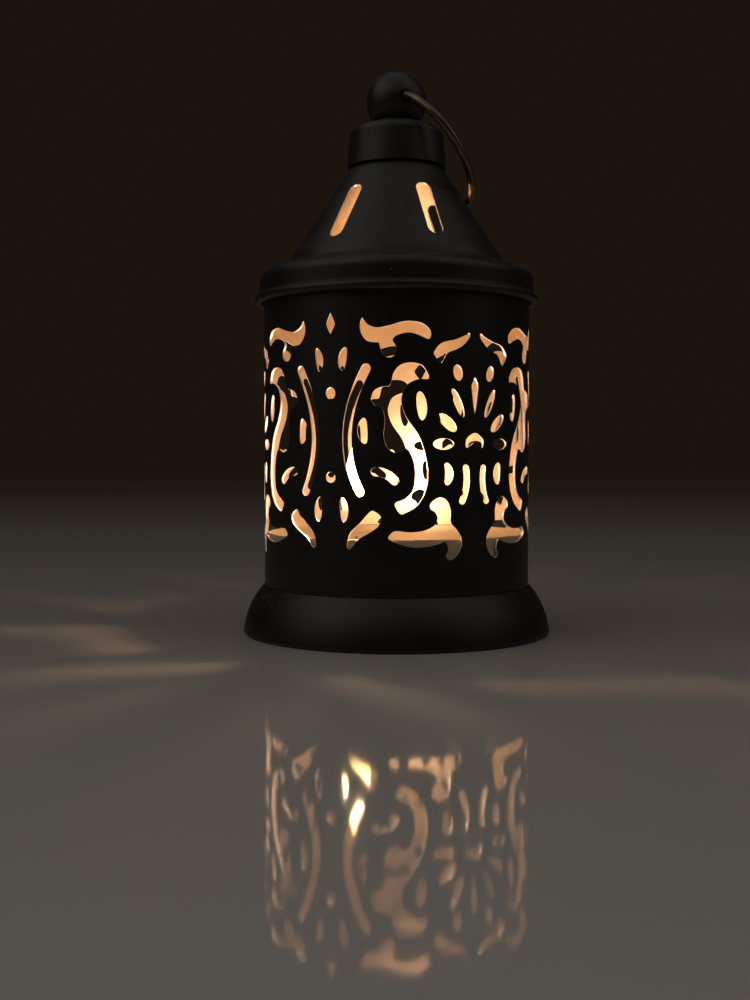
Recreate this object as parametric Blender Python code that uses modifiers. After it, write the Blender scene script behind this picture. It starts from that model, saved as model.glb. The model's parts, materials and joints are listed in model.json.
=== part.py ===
"""Pierced metal tealight lantern, in metres, +Z up, its front towards -Y.

It stands on z = 0 with its axis on Z. The foot holds a bare cup for the candle. The drum, roof and finial
are one assembly that lifts off that cup, and a wire ring swings in the finial's ball.
"""

from math import acos, asin, atan2, cos, degrees, hypot, pi, radians, sin, sqrt

import bmesh
import bpy
from mathutils import Matrix, Vector

MM = 0.001

# Sheet metal and fits
SHEET = 0.6 * MM
FIT = 0.3 * MM
WELD = 0.005 * MM
FACETS = 36
SMALL_FACETS = 24
SHARP_ANGLE = radians(35.0)
SAME_PLANE = radians(0.3)

# Foot
FOOT_RADIUS = 45.0 * MM
FOOT_HEIGHT = 13.9 * MM
FOOT_HEM = 4.0 * MM
FOOT_EDGE = 0.9 * MM
FOOT_EDGE_TUCK = 0.3 * MM
SEAT_WIDTH = 1.0 * MM
SHOULDER_BOW = 1.1 * MM
COLLAR_DROP = 5.0 * MM

# Candle tray: the cup whose wall is the neck that the drum slips over
NECK_RISE = 15.6 * MM
NECK_SLIP = 0.36 * MM
TRAY_UNDERSIDE = 9.6 * MM
TRAY_CORNER = 1.5 * MM

# Drum
DRUM_RADIUS = 38.8 * MM
DRUM_HEIGHT = 88.0 * MM
PLAIN_BELOW = 9.8 * MM
PLAIN_ABOVE = 12.2 * MM
PATTERN_REPEATS = 3
PATTERN_TURN = radians(-27.0)

# Brim
BRIM_WALL_GAP = 0.7 * MM
BRIM_LIP = 2.8 * MM
LIP_BEAD = 1.35 * MM
BRIM_SIDE = 5.2 * MM
BRIM_ROUND = 3.0 * MM
BRIM_TOP_SLOPE = 2.2 * MM
BRIM_INNER_LAP = 2.5 * MM
CONE_SEAT = 0.4 * MM

# Cone
CONE_FOOT_RADIUS = 31.6 * MM
CONE_CUFF = 4.2 * MM
CONE_CUFF_TAPER = 2.4 * MM
CONE_CUFF_BOW = 0.2 * MM
CONE_HEIGHT = 35.2 * MM
CROWN_RADIUS = 6.0 * MM
SLOTS = 6
SLOT_LENGTH = 19.0 * MM
SLOT_WIDTH = 4.5 * MM
SLOT_RISE = 0.9 * MM
SLOT_TURN = radians(23.0)

# Cap
CAP_RADIUS = 14.6 * MM
CAP_TAPER = 0.9 * MM
CAP_ROUND = 2.6 * MM
CAP_DOME = 0.7 * MM

# Finial
SPACER_RADIUS = 6.8 * MM
SPACER_HEIGHT = 0.9 * MM
BALL_RADIUS = 8.75 * MM
BALL_FOOT_RADIUS = 6.9 * MM
BALL_WALL = 0.7 * MM
BALL_FLOOR = 1.3 * MM
SCREW_RADIUS = 1.5 * MM
SCREW_HEAD_RADIUS = 2.9 * MM
SCREW_HEAD_HEIGHT = 2.0 * MM
WASHER_RADIUS = 4.4 * MM
WASHER_THICKNESS = 0.8 * MM

# Ring handle
RING_RADIUS = 18.8 * MM
RING_WIRE = 1.15 * MM
RING_TURN = radians(-20.0)

# Tealight, set down off centre
CANDLE_GAP = 3.0 * MM
CANDLE_TURN = radians(-49.0)
CUP_RADIUS = 19.0 * MM
CUP_HEIGHT = 15.0 * MM
CUP_WALL = 0.5 * MM
CUP_CORNER = 1.2 * MM
WAX_BELOW_RIM = 1.8 * MM
WICK_RADIUS = 0.7 * MM
WICK_RISE = 5.0 * MM
WICK_TIP = 1.0 * MM
WICK_PLATE_RADIUS = 6.5 * MM
WICK_PLATE_THICKNESS = 0.5 * MM

# Heights and radii that follow from the sizes above
TRAY_RADIUS = DRUM_RADIUS - SHEET - NECK_SLIP
DRUM_FOOT = FOOT_HEIGHT + FIT
DRUM_TOP = DRUM_FOOT + DRUM_HEIGHT
BRIM_RADIUS = DRUM_RADIUS + BRIM_WALL_GAP + SHEET
BRIM_SHOULDER = DRUM_TOP
BRIM_TOP = BRIM_SHOULDER + BRIM_ROUND + BRIM_TOP_SLOPE
CONE_FOOT = BRIM_TOP + FIT
CONE_TOP = CONE_FOOT + CONE_CUFF + CONE_HEIGHT
CONE_SHOULDER_RADIUS = CONE_FOOT_RADIUS - CONE_CUFF_TAPER
CONE_SLOPE = (CONE_SHOULDER_RADIUS - CROWN_RADIUS) / CONE_HEIGHT
CAP_FOOT = CONE_TOP + FIT - (CAP_RADIUS - SHEET - FIT - CROWN_RADIUS) / CONE_SLOPE
CAP_TOP = CONE_TOP + FIT + SHEET
SPACER_FOOT = CAP_TOP + FIT
BALL_FOOT = SPACER_FOOT + SPACER_HEIGHT + FIT
BALL_FOOT_DROP = sqrt(BALL_RADIUS**2 - BALL_FOOT_RADIUS**2)
BALL_CENTRE = BALL_FOOT + BALL_FOOT_DROP
SCREW_HOLE = SCREW_RADIUS + FIT
TRAY_FLOOR = TRAY_UNDERSIDE + SHEET
CUP_FOOT = TRAY_FLOOR + FIT
CANDLE_OFFSET = TRAY_RADIUS - SHEET - CANDLE_GAP - CUP_RADIUS


def clear_scene():
    for thing in list(bpy.data.objects):
        bpy.data.objects.remove(thing, do_unlink=True)


def new_collection(name):
    collection = bpy.data.collections.new(name)
    bpy.context.scene.collection.children.link(collection)
    return collection


def new_material(name, colour, roughness, metallic=0.0):
    material = bpy.data.materials.new(name)
    material.use_nodes = True
    shader = material.node_tree.nodes["Principled BSDF"]
    shader.inputs["Base Color"].default_value = (*colour, 1.0)
    shader.inputs["Roughness"].default_value = roughness
    shader.inputs["Metallic"].default_value = metallic
    material.diffuse_color = (*colour, 1.0)
    return material


clear_scene()
PARTS = new_collection("pierced_lantern")
CUTTERS = new_collection("cutters")
BLACK_PAINT = new_material("black_paint", (0.012, 0.012, 0.013), 0.42)
BARE_TIN = new_material("bare_tin", (0.62, 0.58, 0.52), 0.32, 1.0)
DARK_WIRE = new_material("dark_wire", (0.05, 0.045, 0.04), 0.25, 0.8)
STEEL = new_material("steel", (0.5, 0.5, 0.5), 0.35, 1.0)
ALUMINIUM = new_material("aluminium", (0.78, 0.78, 0.78), 0.3, 1.0)
WAX = new_material("wax", (0.86, 0.82, 0.74), 0.5)
WICK = new_material("wick", (0.08, 0.06, 0.05), 0.9)


def new_frame(name, place, parent=None):
    """An empty on a joint's axis, which carries the pieces that move together."""
    frame = bpy.data.objects.new(name, None)
    frame.location = place
    frame.parent = parent
    frame.empty_display_size = 0.01
    PARTS.objects.link(frame)
    return frame


def add_object(name, mesh, material, parent=None, collection=None):
    piece = bpy.data.objects.new(name, mesh)
    piece.parent = parent
    if material is not None:
        mesh.materials.append(material)
    (collection or PARTS).objects.link(piece)
    return piece


def bowed(start, end, bow, steps=4):
    """Points of a circular arc from start to end that swells by bow to the left of the way it runs."""
    start, end = Vector(start), Vector(end)
    chord = end - start
    side = Vector((-chord.y, chord.x)).normalized()
    radius = (chord.length**2 / 4 + bow**2) / (2 * abs(bow))
    half_angle = asin(min(1.0, chord.length / 2 / radius))
    points = []
    for step in range(steps + 1):
        angle = half_angle * (2 * step / steps - 1)
        along = chord / 2 * (1 + sin(angle) / sin(half_angle))
        rise = radius * (cos(angle) - cos(half_angle))
        points.append(tuple(start + along + side * rise * (1 if bow > 0 else -1)))
    return points


def rounded(centre, radius, start_degrees, end_degrees, steps=4):
    """Points of a circular arc in the profile's plane."""
    angles = [radians(start_degrees + (end_degrees - start_degrees) * i / steps) for i in range(steps + 1)]
    return [(centre[0] + radius * cos(a), centre[1] + radius * sin(a)) for a in angles]


def profile_mesh(name, points, closed=False):
    """A line of points (radius, height) in the XZ plane."""
    mesh = bpy.data.meshes.new(name)
    last = len(points) if closed else len(points) - 1
    edges = [(i, (i + 1) % len(points)) for i in range(last)]
    mesh.from_pydata([(radius, 0.0, height) for radius, height in points], edges, [])
    return mesh


def spin(piece, facets):
    """Turns the profile once round the object's own Z axis."""
    screw = piece.modifiers.new("turn", "SCREW")
    screw.angle = 2 * pi
    screw.steps = facets
    screw.render_steps = facets
    screw.use_merge_vertices = True
    screw.merge_threshold = WELD


def turned_sheet(name, outline, material, parent=None, wall=SHEET, facets=FACETS):
    """A spun sheet: the outline is its outer face, run down its outer side, and the wall lies behind it."""
    piece = add_object(name, profile_mesh(name, outline), material, parent)
    spin(piece, facets)
    solidify = piece.modifiers.new("wall", "SOLIDIFY")
    solidify.thickness = wall
    solidify.offset = -1.0
    solidify.use_even_offset = True
    return piece


def turned_solid(name, outline, material, parent=None, facets=SMALL_FACETS, closed=False):
    """A turned solid. An open outline runs from the axis out, down and back; a ring's section is closed."""
    piece = add_object(name, profile_mesh(name, outline, closed), material, parent)
    spin(piece, facets)
    return piece


def shade(piece):
    """Keeps the evaluated shape as the piece's mesh, smooth over its curves and sharp at its corners."""
    mesh = bpy.data.meshes.new_from_object(piece.evaluated_get(bpy.context.evaluated_depsgraph_get()))
    piece.modifiers.clear()
    piece.data = mesh
    mesh.name = piece.name
    mesh.shade_smooth()
    mesh.set_sharp_from_angle(angle=SHARP_ANGLE)


def cut(piece, cutter, name):
    cutter.hide_render = True
    cutter.display_type = "WIRE"
    boolean = piece.modifiers.new(name, "BOOLEAN")
    boolean.operation = "DIFFERENCE"
    boolean.solver = "EXACT"
    boolean.object = cutter


# The pattern is drawn on a grid: degrees round the drum, and hundredths of the pierced band's height.
# Every outline sits beside the middle of its own column of the ornament.
CREST = [
    (-16.5, 97.5), (-14.5, 95), (-10.5, 93.5), (-5, 94.5), (0.5, 96), (6.5, 95.5), (10, 93), (10.7, 90.5),
    (9.5, 89), (6, 90.5), (2, 91.5), (-2.5, 90.5), (-4.5, 88.5), (-3, 85.5), (-3.5, 82.5), (-6, 81.5),
    (-8, 82.5), (-9.5, 86), (-10, 87.5), (-14, 88), (-16.5, 90.5), (-17.5, 94),
]
SCROLL = [
    (2.5, 79.5), (7, 78.5), (9.5, 75), (9.5, 73), (6, 73), (1.5, 71), (-0.5, 67.5), (-1, 63.5), (1, 57.5),
    (6, 50), (8.5, 42.5), (9.5, 35), (8.5, 28), (5.5, 22.5), (1, 19.5), (-1.5, 19), (-3.5, 23), (0.5, 25),
    (3.5, 28.5), (4.5, 35), (3.5, 41), (1, 45), (-3, 43.5), (-6.5, 45.5), (-8, 50.5), (-7.5, 56),
    (-8.5, 61), (-11.5, 62.5), (-13, 65), (-11.5, 68.5), (-8, 70), (-5.5, 70.5), (-4, 75.5), (-1.5, 78.5),
]
FOOT_SCROLL = [
    (14.5, 25.5), (17.5, 24), (19, 20), (19, 15.5), (21.5, 12.5), (23.5, 9.5), (24, 6), (22, 2), (19, 0),
    (17, 1.5), (18, 4.5), (16.5, 7.5), (13.5, 6.5), (8.5, 5.5), (3, 5.5), (-2.5, 7), (-6, 9), (-5, 11),
    (-3, 12), (2, 11.5), (7.5, 12), (12, 14), (13.5, 17), (12.5, 19.5), (10.5, 21), (11, 23.5),
]
LOW_LEAF = [
    (18, 20), (21, 17.5), (20, 14), (16, 11), (12, 8.5), (8.5, 4.5), (7, 6), (8.5, 11), (12.5, 15), (16, 19),
]
HIGH_LEAF = [
    (3, 92), (2.5, 90.5), (5.5, 87), (9, 85), (12.5, 83.5), (15, 79.5), (17.5, 82), (18, 84), (15, 87.5),
    (9.5, 89), (4.5, 91),
]
CRESCENT = [
    (-4, 45.5), (-4, 49), (0, 51.5), (4, 49), (4, 45.5), (2, 46.5), (0, 47.5), (-2, 46.5),
]
CURVE_STEPS = 2
PETAL_POINTS = 8
BAND_STEPS = 4
OUTLINE_SLACK = 0.4


def flowing(points, steps=CURVE_STEPS):
    """A closed smooth curve through the points: a Catmull-Rom spline, cut into steps between each two."""
    count = len(points)
    line = []
    for i in range(count):
        before, here, after, beyond = (Vector(points[(i + k) % count]) for k in (-1, 0, 1, 2))
        for step in range(steps):
            t = step / steps
            line.append(
                0.5 * (2 * here + (after - before) * t + (2 * before - 5 * here + 4 * after - beyond) * t**2
                       + (3 * here - before - 3 * after + beyond) * t**3)
            )
    return line


def thinned(outline, slack=OUTLINE_SLACK):
    """Drops each point that lies closer than the slack to the line between the points kept beside it."""
    kept = [Vector(p) for p in outline]
    index = 0
    while index < len(kept):
        before, here, after = kept[index - 1], kept[index], kept[(index + 1) % len(kept)]
        way = (after - before).normalized()
        if abs(way.cross(here - before)) < slack and (here - before).dot(after - here) > 0:
            del kept[index]
        index += 1
    return kept


def petal(tip, foot, width, points=PETAL_POINTS):
    """A long drop or an oval between its two ends."""
    tip, foot = Vector(tip), Vector(foot)
    half = (tip - foot) / 2
    side = Vector((-half.y, half.x)).normalized() * width / 2
    angles = [2 * pi * (i + 0.5) / points for i in range(points)]
    stretch = 1 / cos(pi / points)
    return [(tip + foot) / 2 + half * cos(a) * stretch + side * sin(a) for a in angles]


def diamond(top, bottom, width, waist):
    """A four-sided lozenge, its widest place a share of the way up."""
    middle = bottom + (top - bottom) * waist
    return [Vector(p) for p in ((0, top), (-width / 2, middle), (0, bottom), (width / 2, middle))]


def band(start, middle, end, width, steps=BAND_STEPS):
    """A stroke of even width with round ends, along the arc through three points."""
    start, middle, end = Vector(start), Vector(middle), Vector(end)
    bend = 2 * middle - (start + end) / 2
    shares = [i / steps for i in range(steps + 1)]
    line = [start * (1 - t) ** 2 + bend * 2 * t * (1 - t) + end * t**2 for t in shares]
    one, other = [], []
    for i, point in enumerate(line):
        way = (line[min(i + 1, steps)] - line[max(i - 1, 0)]).normalized()
        side = Vector((-way.y, way.x)) * width / 2
        one.append(point + side)
        other.append(point - side)
    first, last = (line[0] - line[1]).normalized(), (line[-1] - line[-2]).normalized()
    return one + [line[-1] + last * width / 2] + other[::-1] + [line[0] + first * width / 2]


def mirrored(outline):
    return [Vector((-p[0], p[1])) for p in outline]


def both_sides(*outlines):
    return [shape for outline in outlines for shape in (outline, mirrored(outline))]


def arch_column():
    """Two long bowed strokes with drops, discs and leaves between and beside them."""
    return [
        diamond(100, 91.5, 4, 0.47),
        petal((0, 70), (0, 65), 5),
        petal((0, 35.7), (0, 31.3), 4.4),
        *both_sides(
            petal((6.5, 86), (5.2, 76.5), 3.6),
            band((15, 77.3), (7.2, 51.5), (12.4, 27.6), 3.9),
            petal((5, 25.5), (5.8, 15.3), 3.6),
            petal((14.2, 57.5), (14.6, 47), 4.2),
            band((18.7, 35.8), (22.8, 35), (26.4, 32.2), 3.2, 3),
            flowing(LOW_LEAF),
        ),
    ]


def scroll_column():
    """The tall scroll, the crest over it, the ornament at its foot and a drop at its side."""
    return [flowing(CREST), flowing(SCROLL), flowing(FOOT_SCROLL), petal((6, 68), (7.3, 56.5), 4.1)]


def flower_column():
    """A half flower over four upright drops, under a pair of leaves."""
    return [
        diamond(74, 59, 3.4, 0.78),
        flowing(CRESCENT),
        *both_sides(
            flowing(HIGH_LEAF),
            petal((8.6, 79), (7.2, 72.5), 4),
            petal((10.4, 69.3), (5.3, 57.8), 3.3),
            petal((16, 59), (8.7, 52.2), 4.4),
            petal((18.4, 47), (9.6, 47), 4.6),
            petal((12.8, 39.5), (12.4, 30.3), 4.2),
            band((4.3, 37.3), (4.0, 30.5), (5.9, 23.8), 2.8, 3),
        ),
    ]


def pattern_outlines():
    """Every opening, and one repeat more, as points: an angle in radians and a height over the drum's edge."""
    tile = 360.0 / PATTERN_REPEATS
    columns = [(0.0, arch_column()), (tile / 4, scroll_column()), (tile / 2, flower_column())]
    columns.append((tile * 3 / 4, [mirrored(outline) for outline in scroll_column()]))
    widen = 3.0 / PATTERN_REPEATS
    tall = (DRUM_HEIGHT - PLAIN_BELOW - PLAIN_ABOVE) / 100
    openings = []
    for repeat in range(PATTERN_REPEATS + 1):
        for turn, outlines in columns:
            middle = repeat * tile + turn
            for outline in outlines:
                openings.append([
                    (radians(middle + p[0] * widen), PLAIN_BELOW + p[1] * tall) for p in thinned(outline)
                ])
    return openings


def flat_sheet(name, start, end, height, openings):
    """A flat filled sheet from start to end along X, its openings left out."""
    curve = bpy.data.curves.new(name, "CURVE")
    curve.dimensions = "2D"
    curve.fill_mode = "BOTH"
    border = [(start, 0.0), (end, 0.0), (end, height), (start, height)]
    for outline in [border] + openings:
        spline = curve.splines.new("POLY")
        spline.points.add(len(outline) - 1)
        for point, (x, y) in zip(spline.points, outline):
            point.co = (x, y, 0.0, 1.0)
        spline.use_cyclic_u = True
    guide = bpy.data.objects.new(name, curve)
    CUTTERS.objects.link(guide)
    bpy.context.view_layer.update()
    mesh = bpy.data.meshes.new_from_object(guide.evaluated_get(bpy.context.evaluated_depsgraph_get()))
    bpy.data.objects.remove(guide)
    return mesh


def split(sheet, x, clear_below=False, clear_above=False):
    """Cuts the flat sheet along a line across it, and says which edges the cut made."""
    result = bmesh.ops.bisect_plane(
        sheet,
        geom=sheet.verts[:] + sheet.edges[:] + sheet.faces[:],
        plane_co=(x, 0, 0),
        plane_no=(1, 0, 0),
        dist=WELD,
        clear_inner=clear_below,
        clear_outer=clear_above,
    )
    return [item for item in result["geom_cut"] if isinstance(item, bmesh.types.BMEdge)]


def match_ends(sheet, start, end):
    """Gives each point on one end of the sheet a partner on the other, so that the two ends weld."""
    for here, there in ((start, end), (end, start)):
        heights = [v.co.y for v in sheet.verts if abs(v.co.x - here) < WELD]
        for height in heights:
            for edge in [e for e in sheet.edges if all(abs(v.co.x - there) < WELD for v in e.verts)]:
                low, high = sorted(edge.verts, key=lambda v: v.co.y)
                if low.co.y + WELD < height < high.co.y - WELD:
                    bmesh.utils.edge_split(edge, low, (height - low.co.y) / (high.co.y - low.co.y))


def body_shell():
    """The pierced sheet: drawn flat and one repeat too long, trimmed so that its ends match, and rolled."""
    tile = 2 * pi * DRUM_RADIUS / PATTERN_REPEATS
    outlines = pattern_outlines()
    openings = [[(angle * DRUM_RADIUS, height) for angle, height in outline] for outline in outlines]
    mesh = flat_sheet("body_shell", -tile / 2, (PATTERN_REPEATS + 1.5) * tile, DRUM_HEIGHT, openings)
    facet = PATTERN_REPEATS * tile / FACETS
    start = tile / 2 + facet / 2
    end = start + PATTERN_REPEATS * tile
    sheet = bmesh.new()
    sheet.from_mesh(mesh)
    bmesh.ops.remove_doubles(sheet, verts=sheet.verts, dist=WELD)
    split(sheet, start, clear_below=True)
    split(sheet, end, clear_above=True)
    for number in range(1, FACETS):
        for edge in split(sheet, start + number * facet):
            edge.seam = True
    bmesh.ops.dissolve_limit(
        sheet, angle_limit=SAME_PLANE, verts=sheet.verts, edges=sheet.edges, delimit={"SEAM"}
    )
    match_ends(sheet, start, end)
    half = pi / FACETS
    for vert in sheet.verts:
        angle = vert.co.x / DRUM_RADIUS + PATTERN_TURN
        within = ((vert.co.x - start) / facet % 1.0 * 2 - 1) * half
        radius = DRUM_RADIUS * cos(half) / cos(within)
        vert.co = (radius * sin(angle), -radius * cos(angle), vert.co.y)
    bmesh.ops.remove_doubles(sheet, verts=sheet.verts, dist=WELD)
    bmesh.ops.recalc_face_normals(sheet, faces=sheet.faces)
    sample = sheet.faces[:][0]
    if sample.normal.dot(sample.calc_center_median() * Vector((1, 1, 0))) < 0:
        bmesh.ops.reverse_faces(sheet, faces=sheet.faces)
    sheet.to_mesh(mesh)
    sheet.free()
    drum = add_object("body_shell", mesh, BLACK_PAINT, housing)
    solidify = drum.modifiers.new("wall", "SOLIDIFY")
    solidify.thickness = SHEET
    solidify.offset = -1.0
    return drum


def base_skirt():
    seat = DRUM_RADIUS + SEAT_WIDTH / 2
    bore = TRAY_RADIUS + FIT
    outline = [
        (bore, FOOT_HEIGHT - COLLAR_DROP),
        (bore, FOOT_HEIGHT),
        *bowed((seat, FOOT_HEIGHT), (FOOT_RADIUS, FOOT_EDGE), SHOULDER_BOW),
        (FOOT_RADIUS - FOOT_EDGE_TUCK, 0.0),
        (FOOT_RADIUS - FOOT_HEM, 0.0),
    ]
    return turned_sheet("base_skirt", outline, BLACK_PAINT)


def candle_tray():
    outline = [
        (TRAY_RADIUS, FOOT_HEIGHT + NECK_RISE),
        *rounded((TRAY_RADIUS - TRAY_CORNER, TRAY_UNDERSIDE + TRAY_CORNER), TRAY_CORNER, 0, -90, 2),
        (0.0, TRAY_UNDERSIDE),
    ]
    return turned_sheet("candle_tray", outline, BARE_TIN)


def roof_brim():
    side = BRIM_RADIUS
    bead_centre = (DRUM_RADIUS + BRIM_LIP - LIP_BEAD, BRIM_SHOULDER - BRIM_SIDE)
    outline = [
        (CONE_FOOT_RADIUS - BRIM_INNER_LAP, BRIM_TOP),
        (CONE_FOOT_RADIUS + CONE_SEAT, BRIM_TOP),
        (side - BRIM_ROUND, BRIM_TOP - BRIM_TOP_SLOPE),
        *rounded((side - BRIM_ROUND, BRIM_SHOULDER), BRIM_ROUND, 60, 0, 2),
        (side, bead_centre[1] + LIP_BEAD),
        *rounded(bead_centre, LIP_BEAD, 40, -140, 3),
    ]
    return turned_sheet("roof_brim", [(r, z - DRUM_FOOT) for r, z in outline], BLACK_PAINT, housing)


def roof_cone():
    shoulder = (CONE_SHOULDER_RADIUS, CONE_FOOT + CONE_CUFF)
    outline = [
        (SCREW_HOLE, CONE_TOP),
        (CROWN_RADIUS, CONE_TOP),
        *bowed(shoulder, (CONE_FOOT_RADIUS, CONE_FOOT), CONE_CUFF_BOW, 2),
    ]
    cone = turned_sheet("roof_cone", [(r, z - DRUM_FOOT) for r, z in outline], BLACK_PAINT, housing)
    slant = atan2(CONE_SHOULDER_RADIUS - CROWN_RADIUS, CONE_HEIGHT)
    middle = SLOT_RISE + SLOT_LENGTH / 2
    radius = CONE_SHOULDER_RADIUS - middle * sin(slant)
    height = CONE_FOOT + CONE_CUFF + middle * cos(slant) - DRUM_FOOT
    for number in range(SLOTS):
        around = SLOT_TURN + 2 * pi * number / SLOTS
        cutter = add_object(f"slot_cutter_{number + 1}", slot_mesh(), None, housing, CUTTERS)
        cutter.matrix_local = (
            Matrix.Rotation(around - pi / 2, 4, "Z")
            @ Matrix.Translation((radius, 0, height))
            @ Matrix.Rotation(-slant, 4, "Y")
        )
        cut(cone, cutter, f"slot_{number + 1}")
    return cone


def slot_mesh():
    """A stadium that stands along Z and reaches through the sheet along X."""
    mesh = bpy.data.meshes.new("slot_cutter")
    straight = SLOT_LENGTH - SLOT_WIDTH
    upper = rounded((0, straight / 2), SLOT_WIDTH / 2, 0, 180, 5)
    lower = rounded((0, -straight / 2), SLOT_WIDTH / 2, 180, 360, 5)
    shape = bmesh.new()
    reach = 4 * SHEET
    base = shape.faces.new([shape.verts.new((-reach, y, z)) for y, z in upper + lower])
    top = bmesh.ops.extrude_face_region(shape, geom=[base])
    moved = [item for item in top["geom"] if isinstance(item, bmesh.types.BMVert)]
    bmesh.ops.translate(shape, verts=moved, vec=(2 * reach, 0, 0))
    bmesh.ops.recalc_face_normals(shape, faces=shape.faces)
    shape.to_mesh(mesh)
    shape.free()
    return mesh


def roof_cap():
    shoulder = CAP_TOP - CAP_DOME
    top_radius = CAP_RADIUS - CAP_TAPER
    outline = [
        (SCREW_HOLE, CAP_TOP),
        (SPACER_RADIUS, CAP_TOP),
        *rounded((top_radius - CAP_ROUND, shoulder - CAP_ROUND), CAP_ROUND, 85, 0, 4),
        (CAP_RADIUS, CAP_FOOT),
    ]
    outline = [(r, z - DRUM_FOOT) for r, z in outline]
    return turned_sheet("roof_cap", outline, BLACK_PAINT, housing, facets=SMALL_FACETS)


def finial_spacer():
    low, high = SPACER_FOOT - DRUM_FOOT, SPACER_FOOT + SPACER_HEIGHT - DRUM_FOOT
    outline = [(SCREW_HOLE, high), (SPACER_RADIUS, high), (SPACER_RADIUS, low), (SCREW_HOLE, low)]
    return turned_solid("finial_spacer", outline, BLACK_PAINT, housing, 24, closed=True)


def ring_hole_radius():
    """Room for the wire where its curve crosses the ball's wall."""
    offset = sqrt(RING_RADIUS**2 - BALL_RADIUS**2)
    inside = sqrt(RING_RADIUS**2 - (BALL_RADIUS - BALL_WALL) ** 2) - offset
    slope = asin(BALL_RADIUS / RING_RADIUS)
    return RING_WIRE / cos(slope) + inside + FIT


def finial_ball():
    """A hollow ball on a flat, bored floor, with a hole at each side for the ring."""
    centre = BALL_CENTRE - DRUM_FOOT
    inner = BALL_RADIUS - BALL_WALL
    floor = BALL_FOOT_DROP - BALL_FLOOR
    outer_end = -degrees(asin(BALL_FOOT_DROP / BALL_RADIUS))
    inner_end = -degrees(asin(floor / inner))
    outline = [
        *rounded((0, centre), BALL_RADIUS, 90, outer_end, 7),
        (SCREW_HOLE, centre - BALL_FOOT_DROP),
        (SCREW_HOLE, centre - floor),
        *rounded((0, centre), inner, inner_end, 90, 5),
    ]
    outline[0] = (0.0, centre + BALL_RADIUS)
    outline[-1] = (0.0, centre + inner)
    ball = turned_solid("finial_ball", outline, BLACK_PAINT, housing)
    hole = ring_hole_radius()
    mesh = bpy.data.meshes.new("ring_hole_cutter")
    shape = bmesh.new()
    bmesh.ops.create_cone(
        shape, cap_ends=True, segments=16, radius1=hole, radius2=hole, depth=3 * BALL_RADIUS
    )
    shape.to_mesh(mesh)
    shape.free()
    cutter = add_object("ring_hole_cutter", mesh, None, housing, CUTTERS)
    cutter.matrix_local = (
        Matrix.Translation((0, 0, centre))
        @ Matrix.Rotation(-RING_TURN, 4, "Z")
        @ Matrix.Rotation(pi / 2, 4, "X")
    )
    cut(ball, cutter, "ring_holes")
    return ball


def finial_screw():
    under_crown = CONE_TOP - SHEET - FIT - WASHER_THICKNESS - FIT - DRUM_FOOT
    tip = BALL_FOOT + BALL_FLOOR - DRUM_FOOT
    outline = [
        (0.0, tip),
        (SCREW_RADIUS, tip),
        (SCREW_RADIUS, under_crown),
        (SCREW_HEAD_RADIUS, under_crown),
        (SCREW_HEAD_RADIUS, under_crown - SCREW_HEAD_HEIGHT * 0.5),
        (SCREW_HEAD_RADIUS * 0.7, under_crown - SCREW_HEAD_HEIGHT),
        (0.0, under_crown - SCREW_HEAD_HEIGHT),
    ]
    return turned_solid("finial_screw", outline, STEEL, housing, 20)


def screw_washer():
    high = CONE_TOP - SHEET - FIT - DRUM_FOOT
    low = high - WASHER_THICKNESS
    outline = [(SCREW_HOLE, high), (WASHER_RADIUS, high), (WASHER_RADIUS, low), (SCREW_HOLE, low)]
    return turned_solid("screw_washer", outline, STEEL, housing, 24, closed=True)


def ring_rest_angle():
    """How far below level the ring leans when its wire rests FIT clear of the cone."""
    offset = sqrt(RING_RADIUS**2 - BALL_RADIUS**2)
    reach = offset + RING_RADIUS
    slant = atan2(CONE_SLOPE, 1.0)
    apex = CONE_TOP + CROWN_RADIUS / CONE_SLOPE
    clear = (RING_WIRE + FIT) / sin(slant)
    # The far end of the wire lies on the roof's cone, grown by the wire and its clearance:
    # reach * cos(lean) = slope * (height + reach * sin(lean)).
    height = apex + clear - BALL_CENTRE
    straight = hypot(1.0, CONE_SLOPE)
    return acos(CONE_SLOPE * height / (reach * straight)) - slant


def ring_handle():
    """A wire ring threaded through the ball. Its own X axis is the hinge, and it leans down its own -Y."""
    offset = sqrt(RING_RADIUS**2 - BALL_RADIUS**2)
    curve = bpy.data.curves.new("ring_handle", "CURVE")
    curve.dimensions = "3D"
    curve.bevel_depth = RING_WIRE
    curve.bevel_resolution = 2
    spline = curve.splines.new("POLY")
    steps = 36
    spline.points.add(steps - 1)
    for i, point in enumerate(spline.points):
        angle = 2 * pi * i / steps
        point.co = (RING_RADIUS * sin(angle), -offset - RING_RADIUS * cos(angle), 0.0, 1.0)
    spline.use_cyclic_u = True
    curve.materials.append(DARK_WIRE)
    ring = bpy.data.objects.new("ring_handle", curve)
    ring.parent = ring_pivot
    PARTS.objects.link(ring)
    return ring


def candle_cup():
    outline = [
        (CUP_RADIUS, CUP_HEIGHT),
        (CUP_RADIUS, CUP_CORNER),
        (CUP_RADIUS - CUP_CORNER, 0.0),
        (0.0, 0.0),
    ]
    return turned_sheet("candle_cup", outline, ALUMINIUM, candle, CUP_WALL, SMALL_FACETS)


def candle_wax():
    side = CUP_RADIUS - CUP_WALL - FIT
    top = CUP_HEIGHT - WAX_BELOW_RIM
    foot = CUP_WALL + FIT
    roof = foot + WICK_PLATE_THICKNESS + FIT
    recess = WICK_PLATE_RADIUS + FIT
    bore = WICK_RADIUS + FIT
    outline = [
        (bore, top),
        (side, top),
        (side, foot + CUP_CORNER),
        (side - CUP_CORNER, foot),
        (recess, foot),
        (recess, roof),
        (bore, roof),
    ]
    return turned_solid("candle_wax", outline, WAX, candle, SMALL_FACETS, closed=True)


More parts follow.
